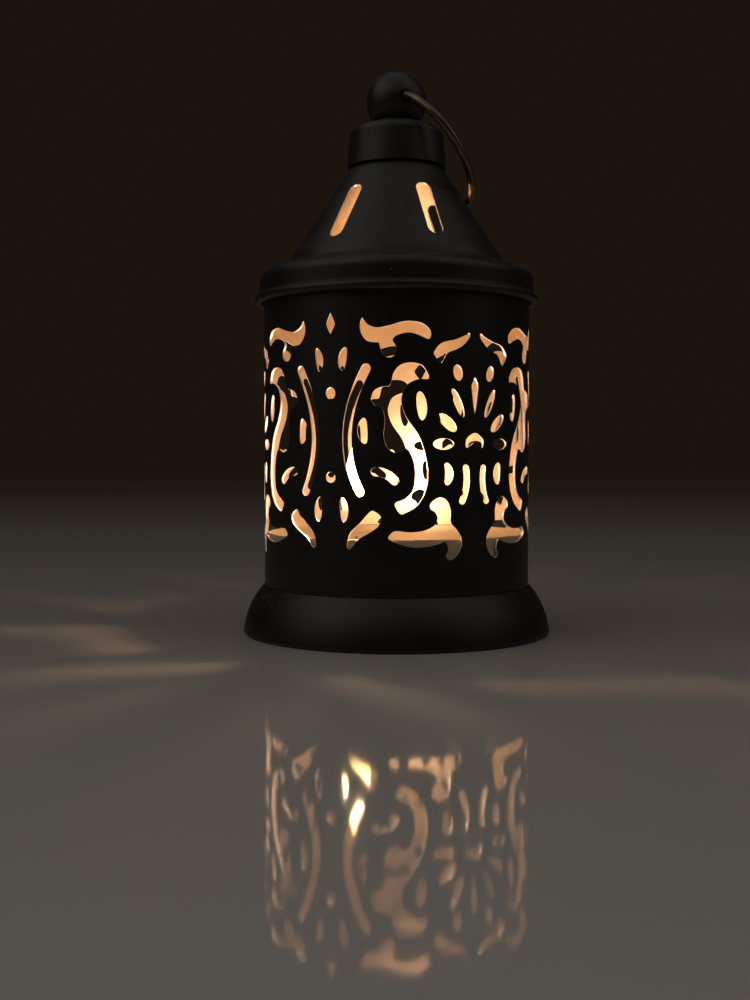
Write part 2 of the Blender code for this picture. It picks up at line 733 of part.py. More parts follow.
def wick_plate():
    low = CUP_WALL + FIT
    high = low + WICK_PLATE_THICKNESS
    outline = [(0.0, high), (WICK_PLATE_RADIUS, high), (WICK_PLATE_RADIUS, low), (0.0, low)]
    return turned_solid("wick_plate", outline, STEEL, candle, 20)


def candle_wick():
    low = CUP_WALL + 2 * FIT + WICK_PLATE_THICKNESS
    high = CUP_HEIGHT - WAX_BELOW_RIM + WICK_RISE
    outline = [
        (0.0, high),
        (WICK_RADIUS * 0.6, high),
        (WICK_RADIUS, high - WICK_TIP),
        (WICK_RADIUS, low),
        (0.0, low),
    ]
    return turned_solid("candle_wick", outline, WICK, candle, 10)


housing = new_frame("housing", (0, 0, DRUM_FOOT))
candle = new_frame("candle", (CANDLE_OFFSET * sin(CANDLE_TURN), -CANDLE_OFFSET * cos(CANDLE_TURN), CUP_FOOT))
ring_pivot = new_frame("ring_pivot", (0, 0, BALL_CENTRE - DRUM_FOOT), housing)
ring_pivot.rotation_euler = (ring_rest_angle(), 0, pi / 2 - RING_TURN)

base_skirt()
candle_tray()
body_shell()
roof_brim()
roof_cone()
roof_cap()
finial_spacer()
finial_ball()
finial_screw()
screw_washer()
ring_handle()
candle_cup()
candle_wax()
wick_plate()
candle_wick()
bpy.context.view_layer.update()
for piece in PARTS.objects:
    if piece.type == "MESH":
        shade(piece)
print(f"ball centre {BALL_CENTRE / MM:.2f} mm up, ring {degrees(ring_rest_angle()):.2f} degrees below level")
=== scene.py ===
# %% [markdown]
# A pierced metal lantern for one tealight. Thin black sheet forms a foot, a rolled drum with a cut
# ornament, a brim, a slotted cone, a cap and a ball finial with a wire ring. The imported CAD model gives
# the sizes and the places, so each cell below reads them from the frame and then makes the fine surface
# of one piece.

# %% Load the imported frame
import json
from math import asin, atan2, ceil, cos, degrees, hypot, pi, radians, sin, sqrt, tan

import bmesh
import bpy
from mathutils import Matrix, Vector


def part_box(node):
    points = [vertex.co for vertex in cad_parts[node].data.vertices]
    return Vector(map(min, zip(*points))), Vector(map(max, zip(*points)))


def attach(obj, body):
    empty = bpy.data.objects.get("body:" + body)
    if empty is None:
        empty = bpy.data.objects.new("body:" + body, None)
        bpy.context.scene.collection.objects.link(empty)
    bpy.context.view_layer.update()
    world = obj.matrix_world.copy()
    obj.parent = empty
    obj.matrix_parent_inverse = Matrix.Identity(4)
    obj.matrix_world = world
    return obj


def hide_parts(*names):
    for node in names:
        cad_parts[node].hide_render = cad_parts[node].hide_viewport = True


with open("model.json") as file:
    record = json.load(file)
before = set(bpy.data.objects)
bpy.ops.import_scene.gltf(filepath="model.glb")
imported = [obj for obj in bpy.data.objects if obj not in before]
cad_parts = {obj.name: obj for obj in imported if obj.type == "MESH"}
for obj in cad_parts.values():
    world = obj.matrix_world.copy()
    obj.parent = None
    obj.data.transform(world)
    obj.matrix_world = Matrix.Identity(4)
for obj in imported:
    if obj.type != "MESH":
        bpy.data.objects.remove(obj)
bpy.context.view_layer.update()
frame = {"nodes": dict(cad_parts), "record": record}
MM = 0.001
WELD = 0.002 * MM
SHARP_ANGLE = radians(33)


def span(node):
    """A turned CAD piece's greatest radius about its own middle, and its lowest and highest point."""
    low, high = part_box(node)
    middle = (low + high) / 2
    points = [v.co for v in frame["nodes"][node].data.vertices]
    return max(hypot(p.x - middle.x, p.y - middle.y) for p in points), low.z, high.z


def added(name, data):
    """A new object in the scene."""
    made = bpy.data.objects.new(name, data)
    bpy.context.scene.collection.objects.link(made)
    return made


def in_mm(*sizes):
    return [round(size / MM, 2) for size in sizes]


# %% [markdown]
# The photograph was taken from close by and a little above the table, with the lantern right of the
# middle. The camera's height follows from the horizon, and its distance from how much of the frame the
# foot fills. The lens is set by its length in pixels, turned into millimetres on a sensor 36 mm tall.

# %% Place the camera
FOCAL_PIXELS = 1244.0
FRAME_HEIGHT_PIXELS = 1000.0
SENSOR = 36.0
CAMERA_DISTANCE = 368 * MM
CAMERA_HEIGHT = 52.6 * MM
LOOK_DOWN = radians(2.16)
LOOK_LEFT = radians(0.98)

camera_data = bpy.data.cameras.new("camera")
camera_data.sensor_fit = "AUTO"
camera_data.sensor_width = SENSOR
camera_data.lens = FOCAL_PIXELS / FRAME_HEIGHT_PIXELS * SENSOR
camera_data.clip_start = 0.01
camera = added("camera", camera_data)
camera.location = (0, -CAMERA_DISTANCE, CAMERA_HEIGHT)
camera.rotation_euler = (pi / 2 - LOOK_DOWN, 0, LOOK_LEFT)
bpy.context.scene.camera = camera
print("lens in mm:", round(camera_data.lens, 1))

# %% [markdown]
# Both shader trees and Geometry Nodes trees are written as Python sums. A Wire is one socket, and adding
# or multiplying Wires adds Math nodes to its tree. A Board is the tree, and one method of it makes every
# node. Kinds of Geometry Nodes are given without their family name, and kinds of shader nodes in full.


# %% Node trees as sums
def maths(board, operation, *terms, kind="Math", output=0):
    """A Math or Vector Math node that works on the terms in this order."""
    return board.node("ShaderNode" + kind, dict(enumerate(terms)), output, operation=operation)


def sign(operation, way=1):
    """A Wire's method that works on it and the other term, or the other way round."""
    return lambda wire, other: maths(wire.board, operation, *(wire, other)[::way])


class Wire:
    """A socket of a node tree. A sum written with it adds a Math node."""

    def __init__(self, board, socket):
        self.board = board
        self.socket = socket

    __add__ = __radd__ = sign("ADD")
    __sub__ = sign("SUBTRACT")
    __rsub__ = sign("SUBTRACT", -1)
    __mul__ = sign("MULTIPLY")
    __truediv__ = sign("DIVIDE")
    __mod__ = sign("MODULO")

    def other(self, name):
        """Another output of the node that this socket is on."""
        return Wire(self.board, self.socket.node.outputs[name])

    def above(self, edge, width):
        """0 below the edge, 1 above it, and a ramp of that width between."""
        sockets = {"Value": self, "From Min": edge - width / 2, "From Max": edge + width / 2}
        return self.board.node("ShaderNodeMapRange", sockets, clamp=True)


class Board:
    """A node tree and the one way to add a node to it."""

    def __init__(self, tree):
        self.tree = tree

    def node(self, kind, sockets=None, output=0, **settings):
        made = self.tree.nodes.new(kind if kind.startswith("Shader") else "GeometryNode" + kind)
        for name, value in settings.items():
            if name == "stops":
                while len(made.color_ramp.elements) < len(value):
                    made.color_ramp.elements.new(0.5)
                for element, (place, colour) in zip(made.color_ramp.elements, value):
                    element.position = place
                    element.color = (*colour, 1.0)
            else:
                setattr(made, name, value)
        for name, value in (sockets or {}).items():
            self.feed(made.inputs[name], value)
        return Wire(self, made.outputs[output])

    def feed(self, socket, value):
        if isinstance(value, (list, tuple)) and isinstance(value[0], Wire):
            for wire in reversed(value):
                self.tree.links.new(wire.socket, socket)
        elif isinstance(value, Wire):
            self.tree.links.new(value.socket, socket)
        else:
            socket.default_value = value


# %% [markdown]
# A finish is a Principled shader with values that change over the surface. Patterns read Object
# coordinates, which are metres in the lantern's own frame here, because each finished piece sits at the
# origin.


# %% A finish and its noise
class Finish(Board):
    """A material whose Principled shader is fed by name."""

    def __init__(self, name):
        self.material = bpy.data.materials.new(name)
        self.material.use_nodes = True
        super().__init__(self.material.node_tree)
        self.shader = self.tree.nodes["Principled BSDF"]
        self.place = self.node("ShaderNodeTexCoord", output="Object")

    def put(self, **values):
        for name, value in values.items():
            self.feed(self.shader.inputs[name.replace("_", " ")], value)
        return self.material

    def height(self):
        return self.node("ShaderNodeSeparateXYZ", {0: self.place}, "Z")

    def cloud(self, size, detail=2.0, roughness=0.5, stretch=(1, 1, 1)):
        """Noise whose features are about that size in millimetres, from 0 to 1."""
        place = self.node("ShaderNodeMapping", {"Vector": self.place, "Scale": stretch})
        sockets = {"Vector": place, "Scale": 1 / (size * MM), "Detail": detail, "Roughness": roughness}
        return self.node("ShaderNodeTexNoise", sockets)

    def specks(self, spacing, radius):
        """Round spots, one in each cell of that spacing in millimetres: 1 inside a spot, 0 outside it."""
        sockets = {"Vector": self.place, "Scale": 1 / (spacing * MM)}
        distance = self.node("ShaderNodeTexVoronoi", sockets, "Distance")
        return 1 - distance.above(radius, radius * 0.6)

    def blend(self, share, first, second):
        """The first colour where the share is 0 and the second where it is 1."""
        one, two = ((*c, 1.0) if isinstance(c, tuple) else c for c in (first, second))
        return self.node("ShaderNodeMix", {0: share, 6: one, 7: two}, 2, data_type="RGBA")

    def bump(self, height, depth, strength=1.0):
        """A relief of that depth in millimetres."""
        sockets = {"Height": height, "Distance": depth * MM, "Strength": strength}
        return self.node("ShaderNodeBump", sockets)


# %% [markdown]
# The outside is satin black enamel on pressed sheet. It is almost colourless, so what shows is its sheen:
# a fine orange-peel surface, cloudy changes in gloss, and a pale tint on the faces that look up, which is
# partly dust and partly a painted highlight where light from above falls on those faces.


# %% Satin black enamel
def satin_black():
    finish = Finish("satin_black")
    clouds = finish.cloud(14, 3)
    peel = finish.cloud(0.9, 2)
    upward = finish.node("ShaderNodeNewGeometry", output="Normal")
    lift = finish.node("ShaderNodeSeparateXYZ", {0: upward}, "Z").above(0.55, 0.5)
    # Paler on the faces that look up: partly dust, partly a painted highlight where light from above falls
    # on them.
    dust_and_highlight = lift * finish.cloud(2.2, 5, 0.7).above(0.56, 0.2) * 0.5
    lint = finish.specks(5.5, 0.045) * clouds.above(0.5, 0.1)
    enamel_colour = finish.blend(clouds.above(0.5, 0.5), (0.0085, 0.0085, 0.0095), (0.0145, 0.0138, 0.0135))
    enamel_colour = finish.blend(dust_and_highlight, enamel_colour, (0.085, 0.078, 0.07))
    return finish.put(
        Base_Color=finish.blend(lint, enamel_colour, (0.16, 0.15, 0.14)),
        Roughness=0.33 + clouds * 0.16 + dust_and_highlight * 0.3,
        Normal=finish.bump(peel, 0.03, 0.5),
        Specular_IOR_Level=0.5,
    )


SATIN_BLACK = satin_black()


# %% [markdown]
# The inside of the drum and the candle's tray are bare tinned sheet. It is warm grey and half glossy,
# with faint upright rolling marks, fine speckles, and a brown bloom of soot towards the top. The tray's
# outside is painted paler and warmer than the drum's tin, a painted glow for the candlelight that
# reaches its neck, and its inside, which the candle heats most, has dulled to a brown tan.


# %% Bare tinned sheet
def tinned_sheet(name, dark, light, metallic):
    finish = Finish(name)
    rolling = finish.cloud(1.1, 3, 0.6, (1, 1, 0.12))
    clouds = finish.cloud(9, 4)
    speckle = finish.specks(1.7, 0.16) * clouds.above(0.5, 0.25)
    soot = finish.height().above(118 * MM, 60 * MM) * finish.cloud(6, 4).above(0.45, 0.5) * 0.5
    tin = finish.blend(clouds.above(0.5, 0.6), dark, light)
    tin = finish.blend(speckle * 0.55, tin, (0.38, 0.33, 0.27))
    return finish.put(
        Base_Color=finish.blend(soot, tin, (0.12, 0.09, 0.065)),
        Metallic=metallic - soot * 0.35,
        Roughness=0.28 + clouds * 0.1 + rolling * 0.08 + soot * 0.3,
        Normal=finish.bump(rolling, 0.02, 0.5),
    )


TINNED_SHEET = tinned_sheet("tinned_sheet", (0.60, 0.51, 0.40), (0.71, 0.62, 0.51), 0.8)
# Paler and warmer than the drum's tin: a painted glow for the candlelight on the tray's neck.
TRAY_OUTSIDE_PAINTED_GLOW = tinned_sheet("tray_outside", (0.78, 0.61, 0.42), (0.88, 0.72, 0.53), 0.35)
TRAY_INSIDE = tinned_sheet("tray_inside", (0.27, 0.215, 0.15), (0.37, 0.30, 0.21), 0.45)


# %% [markdown]
# Where the ornament was cut, the sheet's own edge is bare and bright. The same kind of finish, greyer or
# smoother, serves the screw with its washer and the candle's aluminium cup.


# %% Cut edges, steel and aluminium
def bright_metal(name, colour, roughness, grain, metallic=1.0):
    finish = Finish(name)
    clouds = finish.cloud(3, 4)
    fine = finish.cloud(grain, 3)
    return finish.put(
        Base_Color=finish.blend(clouds.above(0.5, 0.5), colour, tuple(0.78 * c for c in colour)),
        Metallic=metallic,
        Roughness=roughness + clouds * 0.12,
        Normal=finish.bump(fine, 0.02, 0.4),
    )


CUT_EDGE = bright_metal("cut_edge", (0.86, 0.86, 0.89), 0.34, 0.35, 0.3)
STEEL = bright_metal("zinc_steel", (0.56, 0.57, 0.58), 0.28, 0.3)
ALUMINIUM = bright_metal("pressed_aluminium", (0.80, 0.80, 0.81), 0.2, 0.8)


# %% [markdown]
# The ring is dark, glossy wire. The photograph shows a warm glint on it, so its lacquer is thin and
# brownish over metal, rubbed brighter where it has swung against the roof.


# %% Dark lacquered wire
def dark_wire():
    finish = Finish("dark_wire")
    clouds = finish.cloud(5, 4)
    rubbed = finish.cloud(4, 3, 0.5).above(0.64, 0.2)
    return finish.put(
        Base_Color=finish.blend(rubbed * 0.4, (0.15, 0.118, 0.083), (0.34, 0.26, 0.17)),
        Metallic=0.85,
        Roughness=0.18 + clouds * 0.12,
        Normal=finish.bump(finish.cloud(0.9, 2), 0.012, 0.25),
    )


DARK_WIRE = dark_wire()


# %% [markdown]
# The candle is pale paraffin. Near the burning wick it has melted to a clear, glossy pool, and further
# out it is dull and a little cloudy. The wick is cotton, charred black at its top.


# %% Wax and wick
def paraffin(middle, pool_radius):
    finish = Finish("paraffin")
    offset = maths(finish, "SUBTRACT", finish.place, (*middle, 0), kind="VectorMath")
    flat = maths(finish, "MULTIPLY", offset, (1, 1, 0), kind="VectorMath")
    away = maths(finish, "LENGTH", flat, kind="VectorMath", output="Value")
    solid = away.above(pool_radius, 2 * MM)
    clouds = finish.cloud(4, 4)
    return finish.put(
        Base_Color=finish.blend(solid, (0.90, 0.82, 0.64), (0.88, 0.85, 0.78)),
        Roughness=0.08 + solid * (0.36 + clouds * 0.14),
        Normal=finish.bump(clouds * solid, 0.08, 0.5),
        Subsurface_Weight=0.35,
        Subsurface_Radius=(0.006, 0.004, 0.002),
    )


def cotton_wick(char_height):
    finish = Finish("cotton_wick")
    strands = finish.cloud(0.25, 2, 0.5, (1, 1, 0.4))
    burnt = finish.height().above(char_height, 1.5 * MM)
    return finish.put(
        Base_Color=finish.blend(burnt, (0.62, 0.52, 0.38), (0.012, 0.010, 0.009)),
        Roughness=0.8 + strands * 0.15,
        Normal=finish.bump(strands, 0.08),
    )


# %% [markdown]
# Geometry Nodes trees are built in the same way. A tree has named inputs, a modifier holds their values
# for one piece, and the result is kept as a plain mesh.


# %% Grow a piece from a tree
def geometry_board(name, **inputs):
    """A Geometry Nodes tree with named inputs of each kind, and a Wire for each."""
    tree = bpy.data.node_groups.new(name, "GeometryNodeTree")
    for kind, titles in inputs.items():
        for title in titles:
            tree.interface.new_socket(title, in_out="INPUT", socket_type="NodeSocket" + kind)
    tree.interface.new_socket("Geometry", in_out="OUTPUT", socket_type="NodeSocketGeometry")
    board = Board(tree)
    given = tree.nodes.new("NodeGroupInput").outputs
    return board, {title: Wire(board, given[title]) for titles in inputs.values() for title in titles}


def close_tree(board, geometry, *coats):
    """Ends the tree: real meshes, then each coat's material on the faces that it picks, or on them all."""
    geometry = board.node("RealizeInstances", {0: geometry})
    for picked, material in coats:
        sockets = {"Geometry": geometry, "Selection": picked, "Material": material}
        geometry = board.node("SetMaterial", sockets)
    board.feed(board.tree.nodes.new("NodeGroupOutput").inputs[0], geometry)
    return board.tree


def mark(board, geometry, name, picked):
    """Notes a true or false for each face under a name."""
    sockets = {"Geometry": geometry, "Name": name, "Value": picked}
    return board.node("StoreNamedAttribute", sockets, data_type="BOOLEAN", domain="FACE")


def marked(board, name):
    return board.node("InputNamedAttribute", {"Name": name}, "Attribute", data_type="BOOLEAN")


def vector(board, x=0.0, y=0.0, z=0.0):
    return board.node("ShaderNodeCombineXYZ", {0: x, 1: y, 2: z})


def in_a_circle(board, geometry, count, turn=0.0):
    """That many copies round the upright axis, as real meshes, the first of them at the turn."""
    spots = board.node("Points", {"Count": count})
    turn = turn + board.node("InputIndex") / count * (2 * pi)
    sockets = {"Points": spots, "Instance": geometry, "Rotation": vector(board, z=turn)}
    copies = board.node("InstanceOnPoints", sockets)
    return board.node("RealizeInstances", {0: copies})


def cleaned(mesh):
    """Welds the mesh, drops what no face uses, faces it outwards and counts the edges without two faces."""
    shape = bmesh.new()
    shape.from_mesh(mesh)
    bmesh.ops.remove_doubles(shape, verts=shape.verts, dist=WELD)
    loose = [edge for edge in shape.edges if not edge.link_faces]
    bmesh.ops.delete(shape, geom=loose, context="EDGES")
    bmesh.ops.recalc_face_normals(shape, faces=shape.faces)
    unpaired = sum(1 for edge in shape.edges if len(edge.link_faces) != 2)
    shape.to_mesh(mesh)
    shape.free()
    for name in ("lining", "sawn"):
        if name in mesh.attributes:
            mesh.attributes.remove(mesh.attributes[name])
    used = {polygon.material_index for polygon in mesh.polygons}
    for index in reversed(range(len(mesh.materials))):
        if index not in used:
            mesh.materials.pop(index=index)
    mesh.shade_smooth()
    mesh.set_sharp_from_angle(angle=SHARP_ANGLE)
    return unpaired


def evaluated(piece):
    """The mesh that an object's curve or modifiers give."""
    return bpy.data.meshes.new_from_object(piece.evaluated_get(bpy.context.evaluated_depsgraph_get()))


def grow(name, tree, values, mesh):
    """Runs the tree on the mesh with these values and keeps its result as a plain mesh."""
    piece = added(name, mesh)
    modifier = piece.modifiers.new("grow", "NODES")
    modifier.node_group = tree
    for item in tree.interface.items_tree:
        if item.in_out == "INPUT" and item.name in values:
            modifier[item.identifier] = values[item.name]
    grown = evaluated(piece)
    piece.modifiers.clear()
    piece.data = grown
    unpaired = cleaned(grown)
    print(f"{name}: {len(grown.polygons)} faces, {unpaired} unpaired edges")
    return piece


# %% [markdown]
# Most pieces are sheet pressed or spun round one axis, so they share one rule: a closed section is
# carried once round. The tree takes the section as a line of points, lays out a grid with one row for
# each point and one column for each step, and moves every grid point to its place on the circle. The
# second half of a section is the sheet's back, which can have a lining of its own. Flutes are a small
# wave in the radius between two heights, for the candle's crimped cup.


# %% The tree that turns a section
def turning_tree():
    board, given = geometry_board(
        "turn_a_section", Geometry=["Section"], Int=["Steps", "Flutes"],
        Float=["Flute Depth", "Flute Low", "Flute High"], Material=["Finish", "Lining"],
    )
    section, steps = given["Section"], given["Steps"]
    count = board.node("AttributeDomainSize", {0: section}, "Point Count", component="MESH")
    rows = count + 1
    grid = board.node("MeshGrid", {"Vertices X": steps + 1, "Vertices Y": rows})
    index = board.node("InputIndex")
    strip = index % count
    behind = maths(board, "GREATER_THAN", strip, count / 2 - 0.5)
    grid = mark(board, grid, "lining", behind)
    column = maths(board, "FLOOR", index / rows)
    place = board.node("InputPosition")
    sockets = {"Geometry": section, "Value": place, "Index": (index - column * rows) % count}
    sample = board.node("SampleIndex", sockets, data_type="FLOAT_VECTOR")
    radius = board.node("ShaderNodeSeparateXYZ", {0: sample}, "X")
    height = radius.other("Z")
    angle = column / steps * (2 * pi)
    wave = maths(board, "COSINE", angle * given["Flutes"])
    soft = 0.5 * MM
    inside = height.above(given["Flute Low"], soft) * (1 - height.above(given["Flute High"], soft))
    radius = radius + wave * inside * given["Flute Depth"]
    aside, ahead = radius * maths(board, "SINE", angle), 0 - radius * maths(board, "COSINE", angle)
    place = vector(board, aside, ahead, height)
    moved = board.node("SetPosition", {"Geometry": grid, "Position": place})
    welded = board.node("MergeByDistance", {"Geometry": moved, "Distance": WELD})
    return close_tree(board, welded, (True, given["Finish"]), (marked(board, "lining"), given["Lining"]))


TURNING = turning_tree()


# %% [markdown]
# A press leaves no knife edges, so a section is drawn as the line that the outer face follows, from its
# top edge down, with every corner rounded. The sheet's thickness lies behind that line all the way. The
# long runs of a line are cut into shorter ones first, which smooth shading needs.


# %% Lines for sections
def arc(centre, radius, start, end, steps=10):
    """Points of a circular arc, with its angles in degrees."""
    angles = [radians(start + (end - start) * i / steps) for i in range(steps + 1)]
    return [Vector((centre[0] + radius * cos(a), centre[1] + radius * sin(a))) for a in angles]


def bowed(start, end, bow, steps=14):
    """Points of an arc from start to end that swells by bow to the left of the way it runs."""
    start, end = Vector(start), Vector(end)
    chord = end - start
    side = Vector((-chord.y, chord.x)).normalized()
    points = []
    for i in range(steps + 1):
        share = i / steps
        points.append(start + chord * share + side * bow * 4 * share * (1 - share))
    return points


def softened(corners, steps=6):
    """A line through corners (radius, height, round), each turned into an arc of that round."""
    points = [Vector(corner[:2]) for corner in corners]
    line = [points[0]]
    for before, here, after, corner in zip(points, points[1:], points[2:], corners[1:]):
        back, on = (before - here).normalized(), (after - here).normalized()
        half = back.angle(on) / 2
        middle = here + (back + on).normalized() * corner[2] / sin(half)
        reach = corner[2] / tan(half)
        first, last = here + back * reach - middle, here + on * reach - middle
        sweep = pi - 2 * half
        for i in range(steps + 1):
            share = i / steps
            line.append(middle + (first * sin((1 - share) * sweep) + last * sin(share * sweep)) / sin(sweep))
    return line + [points[-1]]


def stepped(line, longest=2.5 * MM):
    """The same line with its long runs cut into shorter ones."""
    points = [line[0]]
    for before, after in zip(line, line[1:]):
        parts = max(1, ceil((after - before).length / longest))
        points += [before.lerp(after, (i + 1) / parts) for i in range(parts)]
    return points


SHEET = 0.6 * MM


def walled(line, wall=SHEET):
    """The closed section of a sheet whose outer face follows the line, with its thickness behind it."""
    line, behind = stepped(line), []
    for i, point in enumerate(line):
        nearby = line[max(i - 1, 0):i + 2]
        ways = [(after - before).normalized() for before, after in zip(nearby, nearby[1:])]
        way = sum(ways, Vector((0, 0))).normalized()
        square = Vector((way.y, -way.x))
        depth = wall / square.dot(Vector((ways[0].y, -ways[0].x)))
        spot = point + square * depth
        behind.append(Vector((max(spot.x, 0), spot.y)))
    return line + behind[::-1]


def spun(name, section, finish, lining=None, steps=240, middle=(0, 0), flutes=(0, 0, 0, 0)):
    """A section of points (radius, height) carried once round the upright line through the middle."""
    mesh = bpy.data.meshes.new(name)
    mesh.from_pydata([(p[0], 0, p[1]) for p in section], [], [])
    values = {"Steps": steps, "Finish": finish, "Lining": lining or finish}
    values |= dict(zip(("Flutes", "Flute Depth", "Flute Low", "Flute High"), flutes))
    piece = grow(name, TURNING, values, mesh)
    piece.data.transform(Matrix.Translation((*middle, 0)))
    return piece


def settle(piece, body, slot, *nodes):
    """Fixes a finished piece to its body and hides the CAD nodes that it stands for. The slot is not used.
    """
    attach(piece, body)
    if nodes:
        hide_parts(*nodes)
    return piece


# %% [markdown]
# The foot is one pressing. A narrow collar stands inside it, the drum rests on the flat ring at its top,
# and the side swells out to a hem that is rolled under, which is the ring that touches the table.

# %% Press the foot
DRUM_RADIUS, DRUM_FOOT, DRUM_TOP = span("body_shell")
TRAY_RADIUS, TRAY_UNDERSIDE, NECK_RIM = span("candle_tray")
FOOT_RADIUS, _, FOOT_TOP = span("base_skirt")
HEM = 0.9 * MM
HEM_WIDTH = 4 * MM
COLLAR_DEPTH = 5 * MM
FOOT_SWELL = 1.1 * MM
collar = TRAY_RADIUS + 0.3 * MM
seat = DRUM_RADIUS + 0.5 * MM
foot_line = softened([
    (collar, FOOT_TOP - COLLAR_DEPTH, 0),
    (collar, FOOT_TOP, 0.35 * MM),
    (seat, FOOT_TOP, 0),
])
foot_line += bowed((seat, FOOT_TOP), (FOOT_RADIUS, HEM), FOOT_SWELL)[1:]
foot_line += arc((FOOT_RADIUS - HEM, HEM), HEM, -8, -90, 8)
foot_line += [Vector((FOOT_RADIUS - HEM_WIDTH, 0))]
settle(spun("foot_pressing", walled(foot_line), SATIN_BLACK), "base", "black_paint", "base_skirt")

# %% [markdown]
# The tray is a plain spun cup of bare tin. Its wall is the neck that the drum slips over, and its rolled
# rim shows through the lowest openings. The section starts on the rim, so that its second half, which
# gets the dull finish, is just the tray's inside.

# %% Spin the candle tray
TRAY_CORNER = 1.5 * MM
tray_line = [Vector((TRAY_RADIUS, NECK_RIM - 0.25 * MM))]
tray_line += arc((TRAY_RADIUS - TRAY_CORNER, TRAY_UNDERSIDE + TRAY_CORNER), TRAY_CORNER, 0, -90)
tray_line += [Vector((0, TRAY_UNDERSIDE))]
tray_wall = walled(tray_line)
rim = arc((TRAY_RADIUS - SHEET / 2, NECK_RIM - SHEET / 2), SHEET / 2, 180, 0, 6)
tray_section = rim[4:] + tray_wall[:-1] + rim[:4]
# The outside's paler finish is a painted glow on the neck that shows through the lowest openings.
tray = spun("tray_pressing", tray_section, TRAY_OUTSIDE_PAINTED_GLOW, TRAY_INSIDE)
settle(tray, "base", "bare_tin", "candle_tray")

# %% [markdown]
# The brim covers the drum's top like a jar lid. It slopes down from the cone's seat, turns over a round
# shoulder and ends in a lip that is rolled outwards into a bead, which catches the light as a thin line.

# %% Press the brim
BRIM_RADIUS, _, BRIM_TOP = span("roof_brim")
CONE_RADIUS, CONE_FOOT, CONE_TOP = span("roof_cone")
BEAD = 1.35 * MM
BEAD_DROP = 5.2 * MM
BRIM_ROUND = 3 * MM
brim_side = DRUM_RADIUS + 1.3 * MM
brim_bend = (brim_side - BRIM_ROUND, DRUM_TOP)
bead_middle = (BRIM_RADIUS - BEAD, DRUM_TOP - BEAD_DROP)
bead_arc = arc(bead_middle, BEAD, 66, -205, 26)
brim_line = [Vector((CONE_RADIUS - 2.5 * MM, BRIM_TOP))]
brim_line += softened([
    (CONE_RADIUS - 1.5 * MM, BRIM_TOP, 0),
    (CONE_RADIUS + 0.4 * MM, BRIM_TOP, 0.8 * MM),
    (*arc(brim_bend, BRIM_ROUND, 65, 65, 1)[0], 0),
])
brim_line += arc(brim_bend, BRIM_ROUND, 62, 0, 12)
brim_line += softened([
    (brim_side, DRUM_TOP - 0.6 * MM, 0),
    (brim_side, bead_arc[0].y + 0.35 * MM, 0.3 * MM),
    (*bead_arc[0], 0),
])
brim_line += bead_arc[1:]
brim = spun("brim_pressing", walled(brim_line), SATIN_BLACK, TINNED_SHEET)
settle(brim, "housing", "black_paint", "roof_brim")

# %% [markdown]
# Some pieces are cut after they are turned: the cone's slots let the hot air out, a bore right through
# the ball holds the ring, and the screw has its driver's slot. All are the same cut, a bar with round
# ends, so one tree makes it. Two discs and the hull around them give the bar, it is leant over to lie
# square to the sheet, and copies of it stand in a circle. A hole is a slot as long as it is wide. The cut
# faces get the bright finish of a fresh edge.


# %% The tree that cuts slots
def slotting_tree():
    board, given = geometry_board(
        "cut_slots", Geometry=["Piece"], Int=["Slots"], Material=["Sawn Finish"],
        Float=["Turn", "Length", "Width", "Depth", "Radius", "Height", "Lean"],
    )
    sockets = {"Vertices": 48, "Radius": given["Width"] / 2, "Depth": given["Depth"]}
    disc = board.node("MeshCylinder", sockets, fill_type="NGON")
    disc = board.node("Transform", {"Geometry": disc, "Rotation": (0, pi / 2, 0)})
    apart = (given["Length"] - given["Width"]) / 2
    ends = []
    for way in (1, -1):
        sockets = {"Geometry": disc, "Translation": vector(board, z=apart * way)}
        ends.append(board.node("Transform", sockets))
    both = board.node("JoinGeometry", {0: ends})
    bar = board.node("ConvexHull", {0: both})
    place, lean = vector(board, given["Radius"], z=given["Height"]), vector(board, y=0 - given["Lean"])
    sockets = {"Geometry": bar, "Translation": place, "Rotation": lean}
    bar = board.node("Transform", sockets)
    bars = mark(board, in_a_circle(board, bar, given["Slots"], given["Turn"]), "sawn", True)
    sockets = {"Mesh 1": given["Piece"], "Mesh 2": bars}
    cut = board.node("MeshBoolean", sockets, operation="DIFFERENCE", solver="EXACT")
    return close_tree(board, cut, (marked(board, "sawn"), given["Sawn Finish"]))


SLOTTING = slotting_tree()


def slotted(name, whole, sawn, **sizes):
    """The piece that the whole one becomes when the slots are cut, with the sawn finish inside them."""
    values = {title.title(): size for title, size in sizes.items()}
    piece = grow(name, SLOTTING, values | {"Sawn Finish": sawn}, whole.data)
    bpy.data.objects.remove(whole)
    return piece


# %% [markdown]
# The cone rises straight from a short flared cuff to a flat crown under the cap. Its slots start just
# above the cuff, and they are turned a little from the front, so that two of them face the camera.

